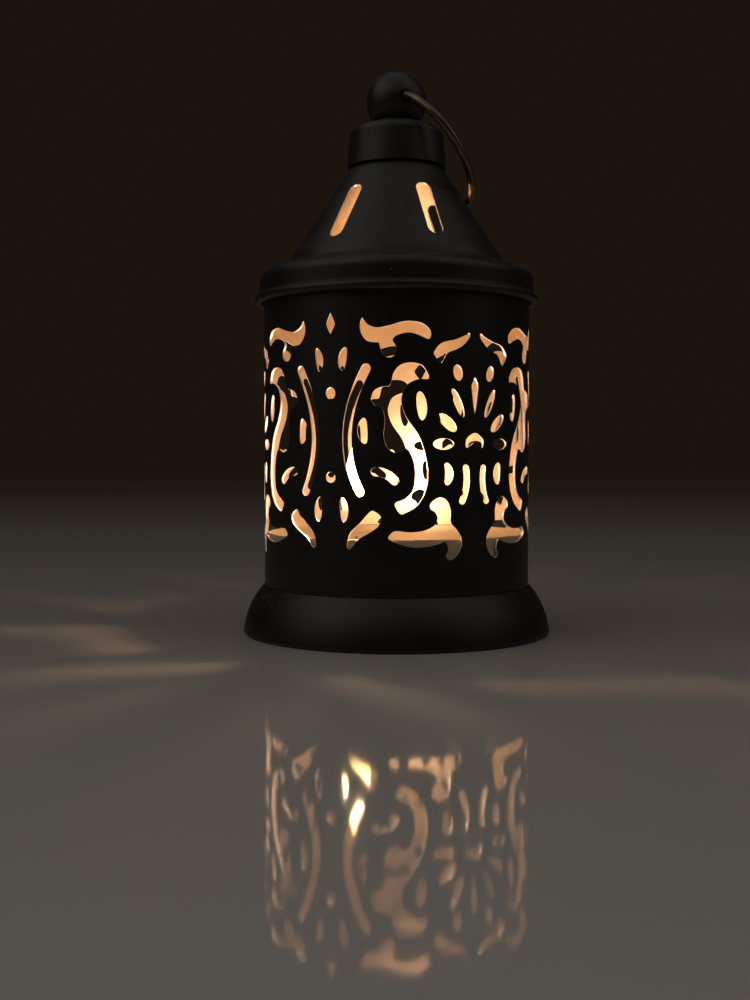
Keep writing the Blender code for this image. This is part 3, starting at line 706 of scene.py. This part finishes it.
# %% Turn and slot the cone
CUFF = 4.2 * MM
CROWN_RADIUS = 6.0 * MM
SCREW_HOLE = 1.8 * MM
SLOTS = 6
SLOT_LENGTH = 19.0 * MM
SLOT_WIDTH = 4.5 * MM
SLOT_RISE = 0.9 * MM
SLOT_TURN = radians(23)
shoulder = Vector((CONE_RADIUS - 2.4 * MM, CONE_FOOT + CUFF))
cone_line = softened([(SCREW_HOLE, CONE_TOP, 0), (CROWN_RADIUS, CONE_TOP, 0.7 * MM), (*shoulder, 0)])
cone_line += bowed(shoulder, (CONE_RADIUS, CONE_FOOT), 0.2 * MM)[1:]
whole_cone = spun("whole_cone", walled(cone_line), SATIN_BLACK, TINNED_SHEET)
slant = atan2(shoulder.x - CROWN_RADIUS, CONE_TOP - shoulder.y)
middle = SLOT_RISE + SLOT_LENGTH / 2
cone = slotted(
    "slotted_cone", whole_cone, CUT_EDGE, slots=SLOTS, turn=SLOT_TURN - pi / 2, length=SLOT_LENGTH,
    width=SLOT_WIDTH, depth=5 * MM, radius=shoulder.x - middle * sin(slant),
    height=shoulder.y + middle * cos(slant), lean=slant,
)
settle(cone, "housing", "black_paint", "roof_cone")
print("cone's finishes:", [finish.name for finish in cone.data.materials])

# %% [markdown]
# The cap is a small domed lid that hides the top of the cone. Above it a short neck carries the hollow
# ball, which stands on a flat, bored floor. The ring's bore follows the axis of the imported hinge.

# %% Press the cap, turn the neck and the ball
CAP_RADIUS, CAP_FOOT, CAP_TOP = span("roof_cap")
NECK_RADIUS, NECK_LOW, NECK_HIGH = span("finial_spacer")
hinge = next(j for j in frame["record"]["behaviour"]["joints"] if j["name"] == "ring_swing")
BALL_CENTRE = hinge["pos_m"][2]
_, BALL_LOW, BALL_HIGH = span("finial_ball")
BALL_RADIUS = BALL_HIGH - BALL_CENTRE
BALL_WALL = 0.7 * MM
cap_round = 2.6 * MM
cap_shoulder = (CAP_RADIUS - 0.9 * MM - cap_round, CAP_TOP - 0.7 * MM - cap_round)
round_arc = arc(cap_shoulder, cap_round, 76, 0, 14)
cap_line = [Vector((SCREW_HOLE, CAP_TOP))] + bowed((NECK_RADIUS, CAP_TOP), round_arc[0], 0.12 * MM, 8)
cap_line += round_arc[1:] + [Vector((CAP_RADIUS, CAP_FOOT))]
cap = spun("cap_pressing", walled(cap_line), SATIN_BLACK, TINNED_SHEET, 180)
settle(cap, "housing", "black_paint", "roof_cap")

neck_line = softened([
    (SCREW_HOLE, NECK_HIGH, 0), (NECK_RADIUS - 0.3 * MM, NECK_HIGH, 0.4 * MM),
    (NECK_RADIUS, (NECK_LOW + NECK_HIGH) / 2, 1.0 * MM), (NECK_RADIUS - 0.3 * MM, NECK_LOW, 0.4 * MM),
    (SCREW_HOLE, NECK_LOW, 0),
])
neck = spun("finial_neck", neck_line, SATIN_BLACK, steps=144)
settle(neck, "housing", "black_paint", "finial_spacer")

floor_drop = BALL_CENTRE - BALL_LOW
inner_drop, inner = floor_drop - 1.3 * MM, BALL_RADIUS - BALL_WALL
ball_line = arc((0, BALL_CENTRE), BALL_RADIUS, 90, -degrees(asin(floor_drop / BALL_RADIUS)), 48)
ball_line += [Vector((SCREW_HOLE, BALL_LOW)), Vector((SCREW_HOLE, BALL_CENTRE - inner_drop))]
ball_line += arc((0, BALL_CENTRE), inner, -degrees(asin(inner_drop / inner)), 90, 40)
ball_line[0].x = ball_line[-1].x = 0
whole_ball = spun("whole_ball", ball_line, SATIN_BLACK, steps=144)
hinge_way = Vector(hinge["axis"])
ring_node = [v.co for v in frame["nodes"]["ring_handle"].data.vertices]
ring_middle = sum(ring_node, Vector()) / len(ring_node)
reaches = [(point - ring_middle).length for point in ring_node]
RING_WIRE = (max(reaches) - min(reaches)) / 2
RING_RADIUS = (max(reaches) + min(reaches)) / 2
offset = (ring_middle - Vector(hinge["pos_m"])).length
crossing = sqrt(RING_RADIUS**2 - inner**2) - offset
bore = RING_WIRE / cos(asin(BALL_RADIUS / RING_RADIUS)) + crossing + 0.3 * MM
ball = slotted(
    "finial_globe", whole_ball, CUT_EDGE, slots=1, turn=atan2(hinge_way.y, hinge_way.x), length=2 * bore,
    width=2 * bore, depth=3 * BALL_RADIUS, height=BALL_CENTRE,
)
settle(ball, "housing", "black_paint", "finial_ball")
print("ring radius and wire in mm:", in_mm(RING_RADIUS, RING_WIRE))

# %% [markdown]
# The ring is one length of wire bent into a circle. A tree sweeps a small circle along a large one, and
# the mesh is then turned to lie where the ring rests, leaning on the cone.


# %% Bend the ring
def wire_ring_tree():
    board, given = geometry_board(
        "bend_a_ring", Geometry=["Start"], Float=["Radius", "Wire"], Material=["Finish"],
    )
    path = board.node("CurvePrimitiveCircle", {"Resolution": 160, "Radius": given["Radius"]})
    profile = board.node("CurvePrimitiveCircle", {"Resolution": 28, "Radius": given["Wire"]})
    tube = board.node("CurveToMesh", {"Curve": path, "Profile Curve": profile})
    return close_tree(board, tube, (True, given["Finish"]))


values = {"Radius": RING_RADIUS, "Wire": RING_WIRE, "Finish": DARK_WIRE}
ring = grow("ring_wire", wire_ring_tree(), values, bpy.data.meshes.new("ring_wire"))
away = (ring_middle - Vector(hinge["pos_m"])).normalized()
square = hinge_way.cross(away)
lie = Matrix((hinge_way, away, square)).transposed().to_4x4()
ring.data.transform(Matrix.Translation(ring_middle) @ lie)
settle(ring, "ring", "dark_wire", "ring_handle")

# %% [markdown]
# One screw pulls the ball, the neck, the cap and the cone together. Only its slotted head and its washer
# show, and only from below with the roof lifted.

# %% Turn the screw and its washer
_, SCREW_LOW, SCREW_HIGH = span("finial_screw")
SHANK_RADIUS = 1.5 * MM
HEAD_RADIUS = 2.9 * MM
head_foot = span("screw_washer")[1] - 0.3 * MM
screw_line = softened([
    (0, SCREW_HIGH, 0), (SHANK_RADIUS, SCREW_HIGH, 0.3 * MM), (SHANK_RADIUS, head_foot, 0.15 * MM),
    (HEAD_RADIUS, head_foot, 0.2 * MM), (HEAD_RADIUS, head_foot - 0.8 * MM, 0.5 * MM),
    (1.9 * MM, SCREW_LOW, 0.7 * MM), (0, SCREW_LOW, 0),
])
screw = slotted(
    "slotted_screw", spun("whole_screw", screw_line, STEEL, steps=96), STEEL, slots=1, turn=0.4,
    length=1.4 * MM, width=0.7 * MM, depth=7 * MM, height=SCREW_LOW,
)
settle(screw, "housing", "steel", "finial_screw")


def steel_disc(name, hole, middle, radius, low, high):
    """A flat disc or washer with rounded edges."""
    edge = 0.15 * MM
    line = softened([(hole, high, 0), (radius, high, edge), (radius, low, edge), (hole, low, 0)])
    return spun(name, line, STEEL, steps=96, middle=middle)


washer = steel_disc("steel_washer", SCREW_HOLE, (0, 0), *span("screw_washer"))
settle(washer, "housing", "steel", "screw_washer")

# %% [markdown]
# The ornament repeats three times round the drum. Each opening is drawn beside the middle of its own
# column: a smooth curve through a few points for a scroll or a leaf, an oval for a drop, and a stroke of
# even width for a bar. Across, the grid counts degrees, and upwards hundredths of the pierced band.

# %% Draw the ornament
CREST = [
    (-16.5, 97.5), (-14.5, 95), (-10.5, 93.5), (-5, 94.5), (0.5, 96), (6.5, 95.5), (10, 93), (10.7, 90.5),
    (9.5, 89), (6, 90.5), (2, 91.5), (-2.5, 90.5), (-4.5, 88.5), (-3, 85.5), (-3.5, 82.5), (-6, 81.5),
    (-8, 82.5), (-9.5, 86), (-10, 87.5), (-14, 88), (-16.5, 90.5), (-17.5, 94),
]
SCROLL = [
    (2.5, 79.5), (7, 78.5), (9.5, 75), (9.5, 73), (6, 73), (1.5, 71), (-0.5, 67.5), (-1, 63.5), (1, 57.5),
    (6, 50), (8.5, 42.5), (9.5, 35), (8.5, 28), (5.5, 22.5), (1, 19.5), (-1.5, 19), (-3.5, 23), (0.5, 25),
    (3.5, 28.5), (4.5, 35), (3.5, 41), (1, 45), (-3, 43.5), (-6.5, 45.5), (-8, 50.5), (-7.5, 56),
    (-8.5, 61), (-11.5, 62.5), (-13, 65), (-11.5, 68.5), (-8, 70), (-5.5, 70.5), (-4, 75.5), (-1.5, 78.5),
]
FOOT_SCROLL = [
    (14.5, 25.5), (17.5, 24), (19, 20), (19, 15.5), (21.5, 12.5), (23.5, 9.5), (24, 6), (22, 2), (19, 0),
    (17, 1.5), (18, 4.5), (16.5, 7.5), (13.5, 6.5), (8.5, 5.5), (3, 5.5), (-2.5, 7), (-6, 9), (-5, 11),
    (-3, 12), (2, 11.5), (7.5, 12), (12, 14), (13.5, 17), (12.5, 19.5), (10.5, 21), (11, 23.5),
]
LOW_LEAF = [
    (18, 20), (21, 17.5), (20, 14), (16, 11), (12, 8.5), (8.5, 4.5), (7, 6), (8.5, 11), (12.5, 15), (16, 19),
]
HIGH_LEAF = [
    (3, 92), (2.5, 90.5), (5.5, 87), (9, 85), (12.5, 83.5), (15, 79.5), (17.5, 82), (18, 84), (15, 87.5),
    (9.5, 89), (4.5, 91),
]
CRESCENT = [
    (-4, 45.5), (-4, 49), (0, 51.5), (4, 49), (4, 45.5), (2, 46.5), (0, 47.5), (-2, 46.5),
]


def flowing(points, steps=6):
    """A closed smooth curve through the points: a Catmull-Rom spline, cut into steps between each two."""
    count = len(points)
    line = []
    for i in range(count):
        before, here, after, beyond = (Vector(points[(i + k) % count]) for k in (-1, 0, 1, 2))
        for step in range(steps):
            t = step / steps
            line.append(
                0.5 * (2 * here + (after - before) * t + (2 * before - 5 * here + 4 * after - beyond) * t**2
                       + (3 * here - before - 3 * after + beyond) * t**3)
            )
    return line


def petal(tip, foot, width, bend=0.0, points=22):
    """A long drop or an oval between its two ends, whose middle is pushed to the left by the bend."""
    tip, foot = Vector(tip), Vector(foot)
    half = (tip - foot) / 2
    side = Vector((-half.y, half.x)).normalized()
    angles = [2 * pi * i / points for i in range(points)]
    across = [width / 2 * sin(a) + bend * sin(a) ** 2 for a in angles]
    return [(tip + foot) / 2 + half * cos(a) + side * reach for a, reach in zip(angles, across)]


def diamond(top, bottom, width, waist):
    """A four-sided lozenge whose sides swell a little, its widest place a share of the way up."""
    middle = bottom + (top - bottom) * waist
    corners = [Vector(p) for p in ((0, top), (-width / 2, middle), (0, bottom), (width / 2, middle))]
    line = []
    for here, there in zip(corners, corners[1:] + corners[:1]):
        push = ((here + there) / 2 - Vector((0, middle))) * 0.1
        line += [here.lerp(there, i / 5) + push * 4 * (i / 5) * (1 - i / 5) for i in range(5)]
    return line


def stroke(start, middle, end, width, steps=14):
    """A stroke of even width with round ends, along the curve through three points."""
    start, middle, end = Vector(start), Vector(middle), Vector(end)
    bend = 2 * middle - (start + end) / 2
    shares = [i / steps for i in range(steps + 1)]
    line = [start * (1 - t) ** 2 + bend * 2 * t * (1 - t) + end * t**2 for t in shares]
    sides = {1: [], -1: []}
    for i, point in enumerate(line):
        way = (line[min(i + 1, steps)] - line[max(i - 1, 0)]).normalized()
        for hand, points in sides.items():
            points.append(point + Vector((-way.y, way.x)) * hand * width / 2)
    caps = []
    for point, way in ((line[-1], line[-1] - line[-2]), (line[0], line[0] - line[1])):
        side = Vector((-way.y, way.x)).normalized()
        way = way.normalized()
        turns = [pi * k / 6 for k in range(1, 6)]
        caps.append([point + (side * cos(a) + way * sin(a)) * width / 2 for a in turns])
    return sides[1] + caps[0] + sides[-1][::-1] + caps[1]


def mirrored(outline):
    return [Vector((-p[0], p[1])) for p in outline]


def both_sides(*outlines):
    return [shape for outline in outlines for shape in (outline, mirrored(outline))]


print("points in the tall scroll:", len(flowing(SCROLL)))

# %% [markdown]
# Three columns stand side by side. The arch has two long bars that bow apart, with drops and leaves. The
# tall scroll comes twice, once on each side of the flower, the second time as its mirror image. The
# flower is half a daisy over four upright drops.

# %% Three columns of openings
ARCH = [
    diamond(100, 91.5, 4, 0.47),
    petal((0, 70), (0, 65), 4.3),
    petal((0, 35.7), (0, 31.3), 4.4),
    *both_sides(
        petal((6.5, 86), (5.2, 76.5), 3.6, 0.7),
        stroke((15, 77.3), (7.2, 51.5), (12.4, 27.6), 3.9),
        petal((5, 25.5), (5.8, 15.3), 3.6, -0.5),
        petal((14.2, 57.5), (14.6, 47), 4.2, 0.9),
        stroke((18.7, 35.8), (22.8, 35), (26.4, 32.2), 3.6, 6),
        flowing(LOW_LEAF),
    ),
]
SCROLLS = [flowing(CREST), flowing(SCROLL), flowing(FOOT_SCROLL), petal((6, 68), (7.3, 56.5), 4.1, -0.4)]
FLOWER = [
    diamond(74, 59, 3.4, 0.78),
    flowing(CRESCENT),
    *both_sides(
        flowing(HIGH_LEAF),
        petal((8.6, 79), (7.2, 72.5), 4),
        petal((10.4, 69.3), (5.3, 57.8), 3.3),
        petal((16, 59), (8.7, 52.2), 4.4),
        petal((18.4, 47), (9.6, 47), 4.6),
        petal((12.8, 39.5), (12.4, 30.3), 4.2, 0.6),
        stroke((4.3, 37.3), (4.0, 30.5), (5.9, 23.8), 2.8, 6),
    ),
]
REPEATS = 3
PLAIN_BELOW = 9.8 * MM
PLAIN_ABOVE = 12.2 * MM
TILE = 2 * pi * DRUM_RADIUS / REPEATS


def tile_openings():
    """Every opening of one repeat and its two neighbours, flat, in metres along the sheet and up it."""
    across, up = DRUM_RADIUS * radians(1), (DRUM_TOP - DRUM_FOOT - PLAIN_BELOW - PLAIN_ABOVE) / 100
    columns = [(0, ARCH), (0.25, SCROLLS), (0.5, FLOWER), (0.75, [mirrored(shape) for shape in SCROLLS])]
    return [
        [((repeat + share) * TILE + p[0] * across, PLAIN_BELOW + p[1] * up) for p in outline]
        for repeat in (0, 1) for share, outlines in columns for outline in outlines
    ]


print("openings in one repeat:", len(tile_openings()) // 2)

# %% [markdown]
# One repeat is drawn flat as a filled curve, trimmed to its length and creased into narrow strips, so
# that it can bend. The two ends must carry the same points, or the repeats wouldn't weld.


# %% Fill and trim one repeat
def flat_sheet(start, end, height, openings):
    curve = bpy.data.curves.new("flat_sheet", "CURVE")
    curve.dimensions = "2D"
    curve.fill_mode = "BOTH"
    border = [(start, 0), (end, 0), (end, height), (start, height)]
    for outline in [border] + openings:
        spline = curve.splines.new("POLY")
        spline.points.add(len(outline) - 1)
        for point, (x, y) in zip(spline.points, outline):
            point.co = (x, y, 0, 1)
        spline.use_cyclic_u = True
    guide = added("flat_sheet", curve)
    mesh = evaluated(guide)
    bpy.data.objects.remove(guide)
    return mesh


def crease(sheet, x, **clear):
    """Cuts the sheet along a line across it, and says which edges the cut made."""
    result = bmesh.ops.bisect_plane(
        sheet, geom=sheet.verts[:] + sheet.edges[:] + sheet.faces[:], plane_co=(x, 0, 0), plane_no=(1, 0, 0),
        dist=WELD, **clear,
    )
    return [item for item in result["geom_cut"] if isinstance(item, bmesh.types.BMEdge)]


def match_ends(sheet, start, end):
    """Gives each point on one end of the sheet a partner on the other."""
    for here, there in ((start, end), (end, start)):
        for height in [v.co.y for v in sheet.verts if abs(v.co.x - here) < WELD]:
            for edge in [e for e in sheet.edges if all(abs(v.co.x - there) < WELD for v in e.verts)]:
                low, high = sorted(edge.verts, key=lambda v: v.co.y)
                if low.co.y + WELD < height < high.co.y - WELD:
                    bmesh.utils.edge_split(edge, low, (height - low.co.y) / (high.co.y - low.co.y))


def one_repeat(strips=72):
    mesh = flat_sheet(-TILE / 2, 1.9 * TILE, DRUM_TOP - DRUM_FOOT, tile_openings())
    start = TILE * 0.54
    sheet = bmesh.new()
    sheet.from_mesh(mesh)
    bmesh.ops.remove_doubles(sheet, verts=sheet.verts, dist=WELD)
    crease(sheet, start, clear_inner=True)
    crease(sheet, start + TILE, clear_outer=True)
    for number in range(1, strips):
        for edge in crease(sheet, start + number * TILE / strips):
            edge.seam = True
    bmesh.ops.dissolve_limit(
        sheet, angle_limit=radians(0.3), verts=sheet.verts, edges=sheet.edges, delimit={"SEAM"}
    )
    match_ends(sheet, start, start + TILE)
    for edge in sheet.edges:
        edge.seam = False
    sheet.to_mesh(mesh)
    sheet.free()
    return mesh


REPEAT = one_repeat()
print("faces in one flat repeat:", len(REPEAT.polygons))

# %% [markdown]
# The tree rolls the flat repeat round the axis, stands three copies in a circle, welds them, and pushes
# the sheet inwards by its thickness. The push gives three kinds of face, and each has its own look on the
# real drum: black outside, bare tin inside, and bright metal where the ornament was cut.


# %% Roll the pierced drum
def rolling_tree():
    board, given = geometry_board(
        "roll_a_sheet", Geometry=["Sheet"], Float=["Radius", "Foot", "Turn", "Wall"], Int=["Repeats"],
        Material=["Finish", "Lining", "Cut Edge"],
    )
    flat = board.node("ShaderNodeSeparateXYZ", {0: board.node("InputPosition")}, "X")
    angle = flat / given["Radius"] + given["Turn"]
    aside = maths(board, "SINE", angle) * given["Radius"]
    ahead = maths(board, "COSINE", angle) * given["Radius"]
    height = flat.other("Y") + given["Foot"]
    place = vector(board, aside, 0 - ahead, height)
    rolled = board.node("SetPosition", {"Geometry": given["Sheet"], "Position": place})
    whole = in_a_circle(board, rolled, given["Repeats"])
    whole = board.node("MergeByDistance", {"Geometry": whole, "Distance": WELD})
    place = board.node("InputPosition")
    level = maths(board, "MULTIPLY", place, (-1, -1, 0), kind="VectorMath")
    inward = maths(board, "NORMALIZE", level, kind="VectorMath")
    sockets = {"Mesh": whole, "Offset": inward, "Offset Scale": given["Wall"], "Individual": False}
    pushed = board.node("ExtrudeMesh", sockets, mode="FACES")
    marks = {"lining": pushed.other("Top"), "sawn": pushed.other("Side")}
    for name, picked in marks.items():
        pushed = mark(board, pushed, name, picked)
    both = board.node("JoinGeometry", {0: [whole, pushed]})
    welded = board.node("MergeByDistance", {"Geometry": both, "Distance": WELD})
    return close_tree(
        board, welded, (True, given["Finish"]), (marked(board, "lining"), given["Lining"]),
        (marked(board, "sawn"), given["Cut Edge"]),
    )


drum = grow("pierced_drum", rolling_tree(), {
    "Radius": DRUM_RADIUS, "Foot": DRUM_FOOT, "Turn": radians(-27), "Repeats": REPEATS, "Wall": SHEET,
    "Finish": SATIN_BLACK, "Lining": TINNED_SHEET, "Cut Edge": CUT_EDGE,
}, REPEAT)
settle(drum, "housing", "black_paint", "body_shell")
print("drum's far corner in mm:", in_mm(*drum.bound_box[6]))

# %% [markdown]
# The tealight stands off centre in the tray, as the flame's place in the photograph shows. Its cup is
# thin pressed aluminium with flutes up its side and a rolled rim.

# %% The candle's cup, wax and wick plate
cup_low, cup_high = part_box("candle_cup")
CANDLE_AXIS = ((cup_low.x + cup_high.x) / 2, (cup_low.y + cup_high.y) / 2)
CUP_RADIUS, CUP_FOOT, CUP_RIM = span("candle_cup")
FOIL = 0.35 * MM
cup_side = CUP_RADIUS - 0.35 * MM
rim_bead = (CUP_RADIUS - cup_side + FOIL) / 2
cup_line = softened([
    (cup_side, CUP_RIM - 2 * rim_bead, 0), (cup_side, CUP_FOOT, 1.1 * MM), (5 * MM, CUP_FOOT, 0.5 * MM),
    (4.6 * MM, CUP_FOOT + 0.12 * MM, 0.5 * MM), (0, CUP_FOOT + 0.12 * MM, 0),
])
rolled_rim = arc((CUP_RADIUS - rim_bead, CUP_RIM - rim_bead), rim_bead, 180, -90, 20)[:-1]
flutes = (48, 0.14 * MM, CUP_FOOT + 1.6 * MM, CUP_RIM - 2.2 * MM)
cup_section = walled(cup_line, FOIL) + rolled_rim
cup = spun("candle_can", cup_section, ALUMINIUM, steps=384, middle=CANDLE_AXIS, flutes=flutes)
settle(cup, "candle", "aluminium", "candle_cup")

_, WAX_LOW, WAX_TOP = span("candle_wax")
WICK_RADIUS, WICK_LOW, WICK_HIGH = span("candle_wick")
WAX_RADIUS = CUP_RADIUS - 0.8 * MM
PARAFFIN = paraffin(CANDLE_AXIS, 12 * MM)
wax_bore = WICK_RADIUS + 0.3 * MM
wax_line = [Vector((wax_bore, WAX_TOP - 0.5 * MM)), Vector((wax_bore + 0.7 * MM, WAX_TOP - 0.75 * MM))]
wax_line += bowed((6 * MM, WAX_TOP - 0.9 * MM), (15.5 * MM, WAX_TOP - 0.45 * MM), -0.1 * MM, 8)
wax_line += softened([
    (15.8 * MM, WAX_TOP - 0.35 * MM, 0), (17.2 * MM, WAX_TOP - 0.1 * MM, 0.8 * MM),
    (WAX_RADIUS, WAX_TOP, 0.2 * MM), (WAX_RADIUS, WAX_LOW, 1.2 * MM), (7 * MM, WAX_LOW, 0),
])
wax_line += [Vector(p) for p in (
    (6.8 * MM, WAX_LOW), (6.8 * MM, WAX_LOW + 0.8 * MM), (wax_bore, WAX_LOW + 0.8 * MM),
)]
wax = spun("wax_pool", stepped(wax_line, 1.5 * MM), PARAFFIN, steps=192, middle=CANDLE_AXIS)
settle(wax, "candle", "wax", "candle_wax")

settle(steel_disc("wick_foot", 0, CANDLE_AXIS, *span("wick_plate")), "candle", "steel", "wick_plate")

# %% [markdown]
# The wick is a thread of three twisted strands, so its section isn't carried round but upwards: a three-
# lobed outline that turns as it climbs, thinner where it is charred.

# %% Twist the wick
twist = bmesh.new()
rows = []
WICK_ROWS, LOBED = 60, 24
for row in range(WICK_ROWS + 1):
    share = row / WICK_ROWS
    height = WICK_LOW + (WICK_HIGH - WICK_LOW) * share
    size = WICK_RADIUS * (0.86 - 0.3 * max(0, share - 0.82) / 0.18)
    points = []
    for column in range(LOBED):
        angle = 2 * pi * column / LOBED
        reach = size * (0.86 + 0.14 * cos(3 * (angle - share * 14)))
        points.append(twist.verts.new((
            CANDLE_AXIS[0] + reach * cos(angle), CANDLE_AXIS[1] + reach * sin(angle), height,
        )))
    rows.append(points)
for low, high in zip(rows, rows[1:]):
    for column in range(LOBED):
        after = (column + 1) % LOBED
        twist.faces.new((low[column], low[after], high[after], high[column]))
twist.faces.new(rows[0][::-1])
twist.faces.new(rows[-1])
wick_mesh = bpy.data.meshes.new("wick_thread")
twist.to_mesh(wick_mesh)
twist.free()
wick_mesh.materials.append(cotton_wick(WAX_TOP + 1.5 * MM))
print("wick's unpaired edges:", cleaned(wick_mesh))
settle(added("wick_thread", wick_mesh), "candle", "wick", "candle_wick")

# %% [markdown]
# The lantern is lit. The flame's glow is a tall drop, widest two fifths of the way up and clear where it
# leaves the wick. It is turned like the pressed pieces and then leant to the front, because the
# photograph shows the left cut edges brightly lit. It glows by its material, and a small warm lamp inside
# it does most of the lighting, because a lamp renders with less noise.


# %% Light the flame
def candle_flame(foot, length):
    finish = Finish("candle_flame")
    share = (finish.height() - foot) / length
    stops = [
        (0.3, (0.05, 0.04, 0.05)), (0.45, (1.0, 0.55, 0.18)), (0.6, (1.0, 0.80, 0.48)),
        (1.0, (1.0, 0.52, 0.16)),
    ]
    glow = finish.node("ShaderNodeValToRGB", {0: share}, stops=stops)
    return finish.put(
        Base_Color=(0.0, 0.0, 0.0, 1.0), Roughness=1.0, Specular_IOR_Level=0.0, Emission_Color=glow,
        Emission_Strength=18.0, Alpha=share.above(0.4, 0.2),
    )


FLAME_LOW = WICK_HIGH - 2.2 * MM
FLAME_HEIGHT = 30 * MM
FLAME_RADIUS = 3.9 * MM
FLAME_SWELL = 1.12
FLAME_LEAN = 9 * MM
LAMP_SHARE = 0.6


def lean_at(share):
    return FLAME_LEAN * max(0, share) ** 1.5


flame_line = []
for i in range(41):
    share = 1 - i / 40
    width = sin(pi * share**0.8) ** 0.8 * (1 - 0.15 * share) if 0 < share < 1 else 0
    height = FLAME_LOW + FLAME_HEIGHT * share
    flame_line.append(Vector((FLAME_RADIUS * FLAME_SWELL * width, height)))
flame = spun("flame", flame_line, candle_flame(FLAME_LOW, FLAME_HEIGHT), steps=64, middle=CANDLE_AXIS)
flame.visible_shadow = False
for point in flame.data.vertices:
    point.co.y -= lean_at((point.co.z - FLAME_LOW) / FLAME_HEIGHT)
settle(flame, "candle", "wick")

lamp_data = bpy.data.lights.new("flame_light", "POINT")
lamp_data.color = (1.0, 0.60, 0.36)
lamp_data.energy = 0.13
lamp_data.shadow_soft_size = 2.5 * MM
lamp = added("flame_light", lamp_data)
lamp_height = FLAME_LOW + FLAME_HEIGHT * LAMP_SHARE
lamp.location = (CANDLE_AXIS[0], CANDLE_AXIS[1] - lean_at(LAMP_SHARE), lamp_height)
lamp.parent = flame
print("flame's foot and height in mm:", in_mm(FLAME_LOW, FLAME_HEIGHT))

# %% [markdown]
# The lantern stands on a plain pale floor with a slight gloss, which gives the soft mirror image below
# it. Three wide lights are kept dim, so that the black enamel shows its shape while the flame still makes
# the openings glow. The Standard view lets the openings nearest the flame burn out to white, as they do
# in the photograph.


# %% Floor and soft studio light
def pale_floor():
    finish = Finish("pale_floor")
    return finish.put(Base_Color=(0.56, 0.54, 0.51, 1.0), Roughness=0.05, Specular_IOR_Level=0.5)


floor_mesh = bpy.data.meshes.new("floor")
floor_mesh.from_pydata([(-4, -4, 0), (4, -4, 0), (4, 4, 0), (-4, 4, 0)], [], [(0, 1, 2, 3)])
floor_mesh.materials.append(pale_floor())
floor = added("floor", floor_mesh)

world = bpy.data.worlds.new("studio")
world.use_nodes = True
world.node_tree.nodes["Background"].inputs["Color"].default_value = (0.0115, 0.0078, 0.0048, 1.0)
bpy.context.scene.world = world
bpy.context.scene.view_settings.view_transform = "Standard"

STUDIO = {
    "soft_above": ((-0.20, -0.15, 0.95), (0, 0, 0.08), 1.8, 1.5),
    "soft_left": ((-0.80, -0.35, 0.75), (0, 0, 0.08), 1.2, 1.0),
    "soft_right": ((0.75, -0.20, 0.75), (0, 0, 0.10), 1.1, 0.7),
}
for name, (place, aim, size, energy) in STUDIO.items():
    data = bpy.data.lights.new(name, "AREA")
    data.shape = "DISK"
    data.size = size
    data.energy = energy
    data.color = (1.0, 0.97, 0.93)
    light = added(name, data)
    light.location = place
    light.rotation_euler = (Vector(aim) - Vector(place)).to_track_quat("-Z", "Y").to_euler()
print("lights:", len(STUDIO) + 1)
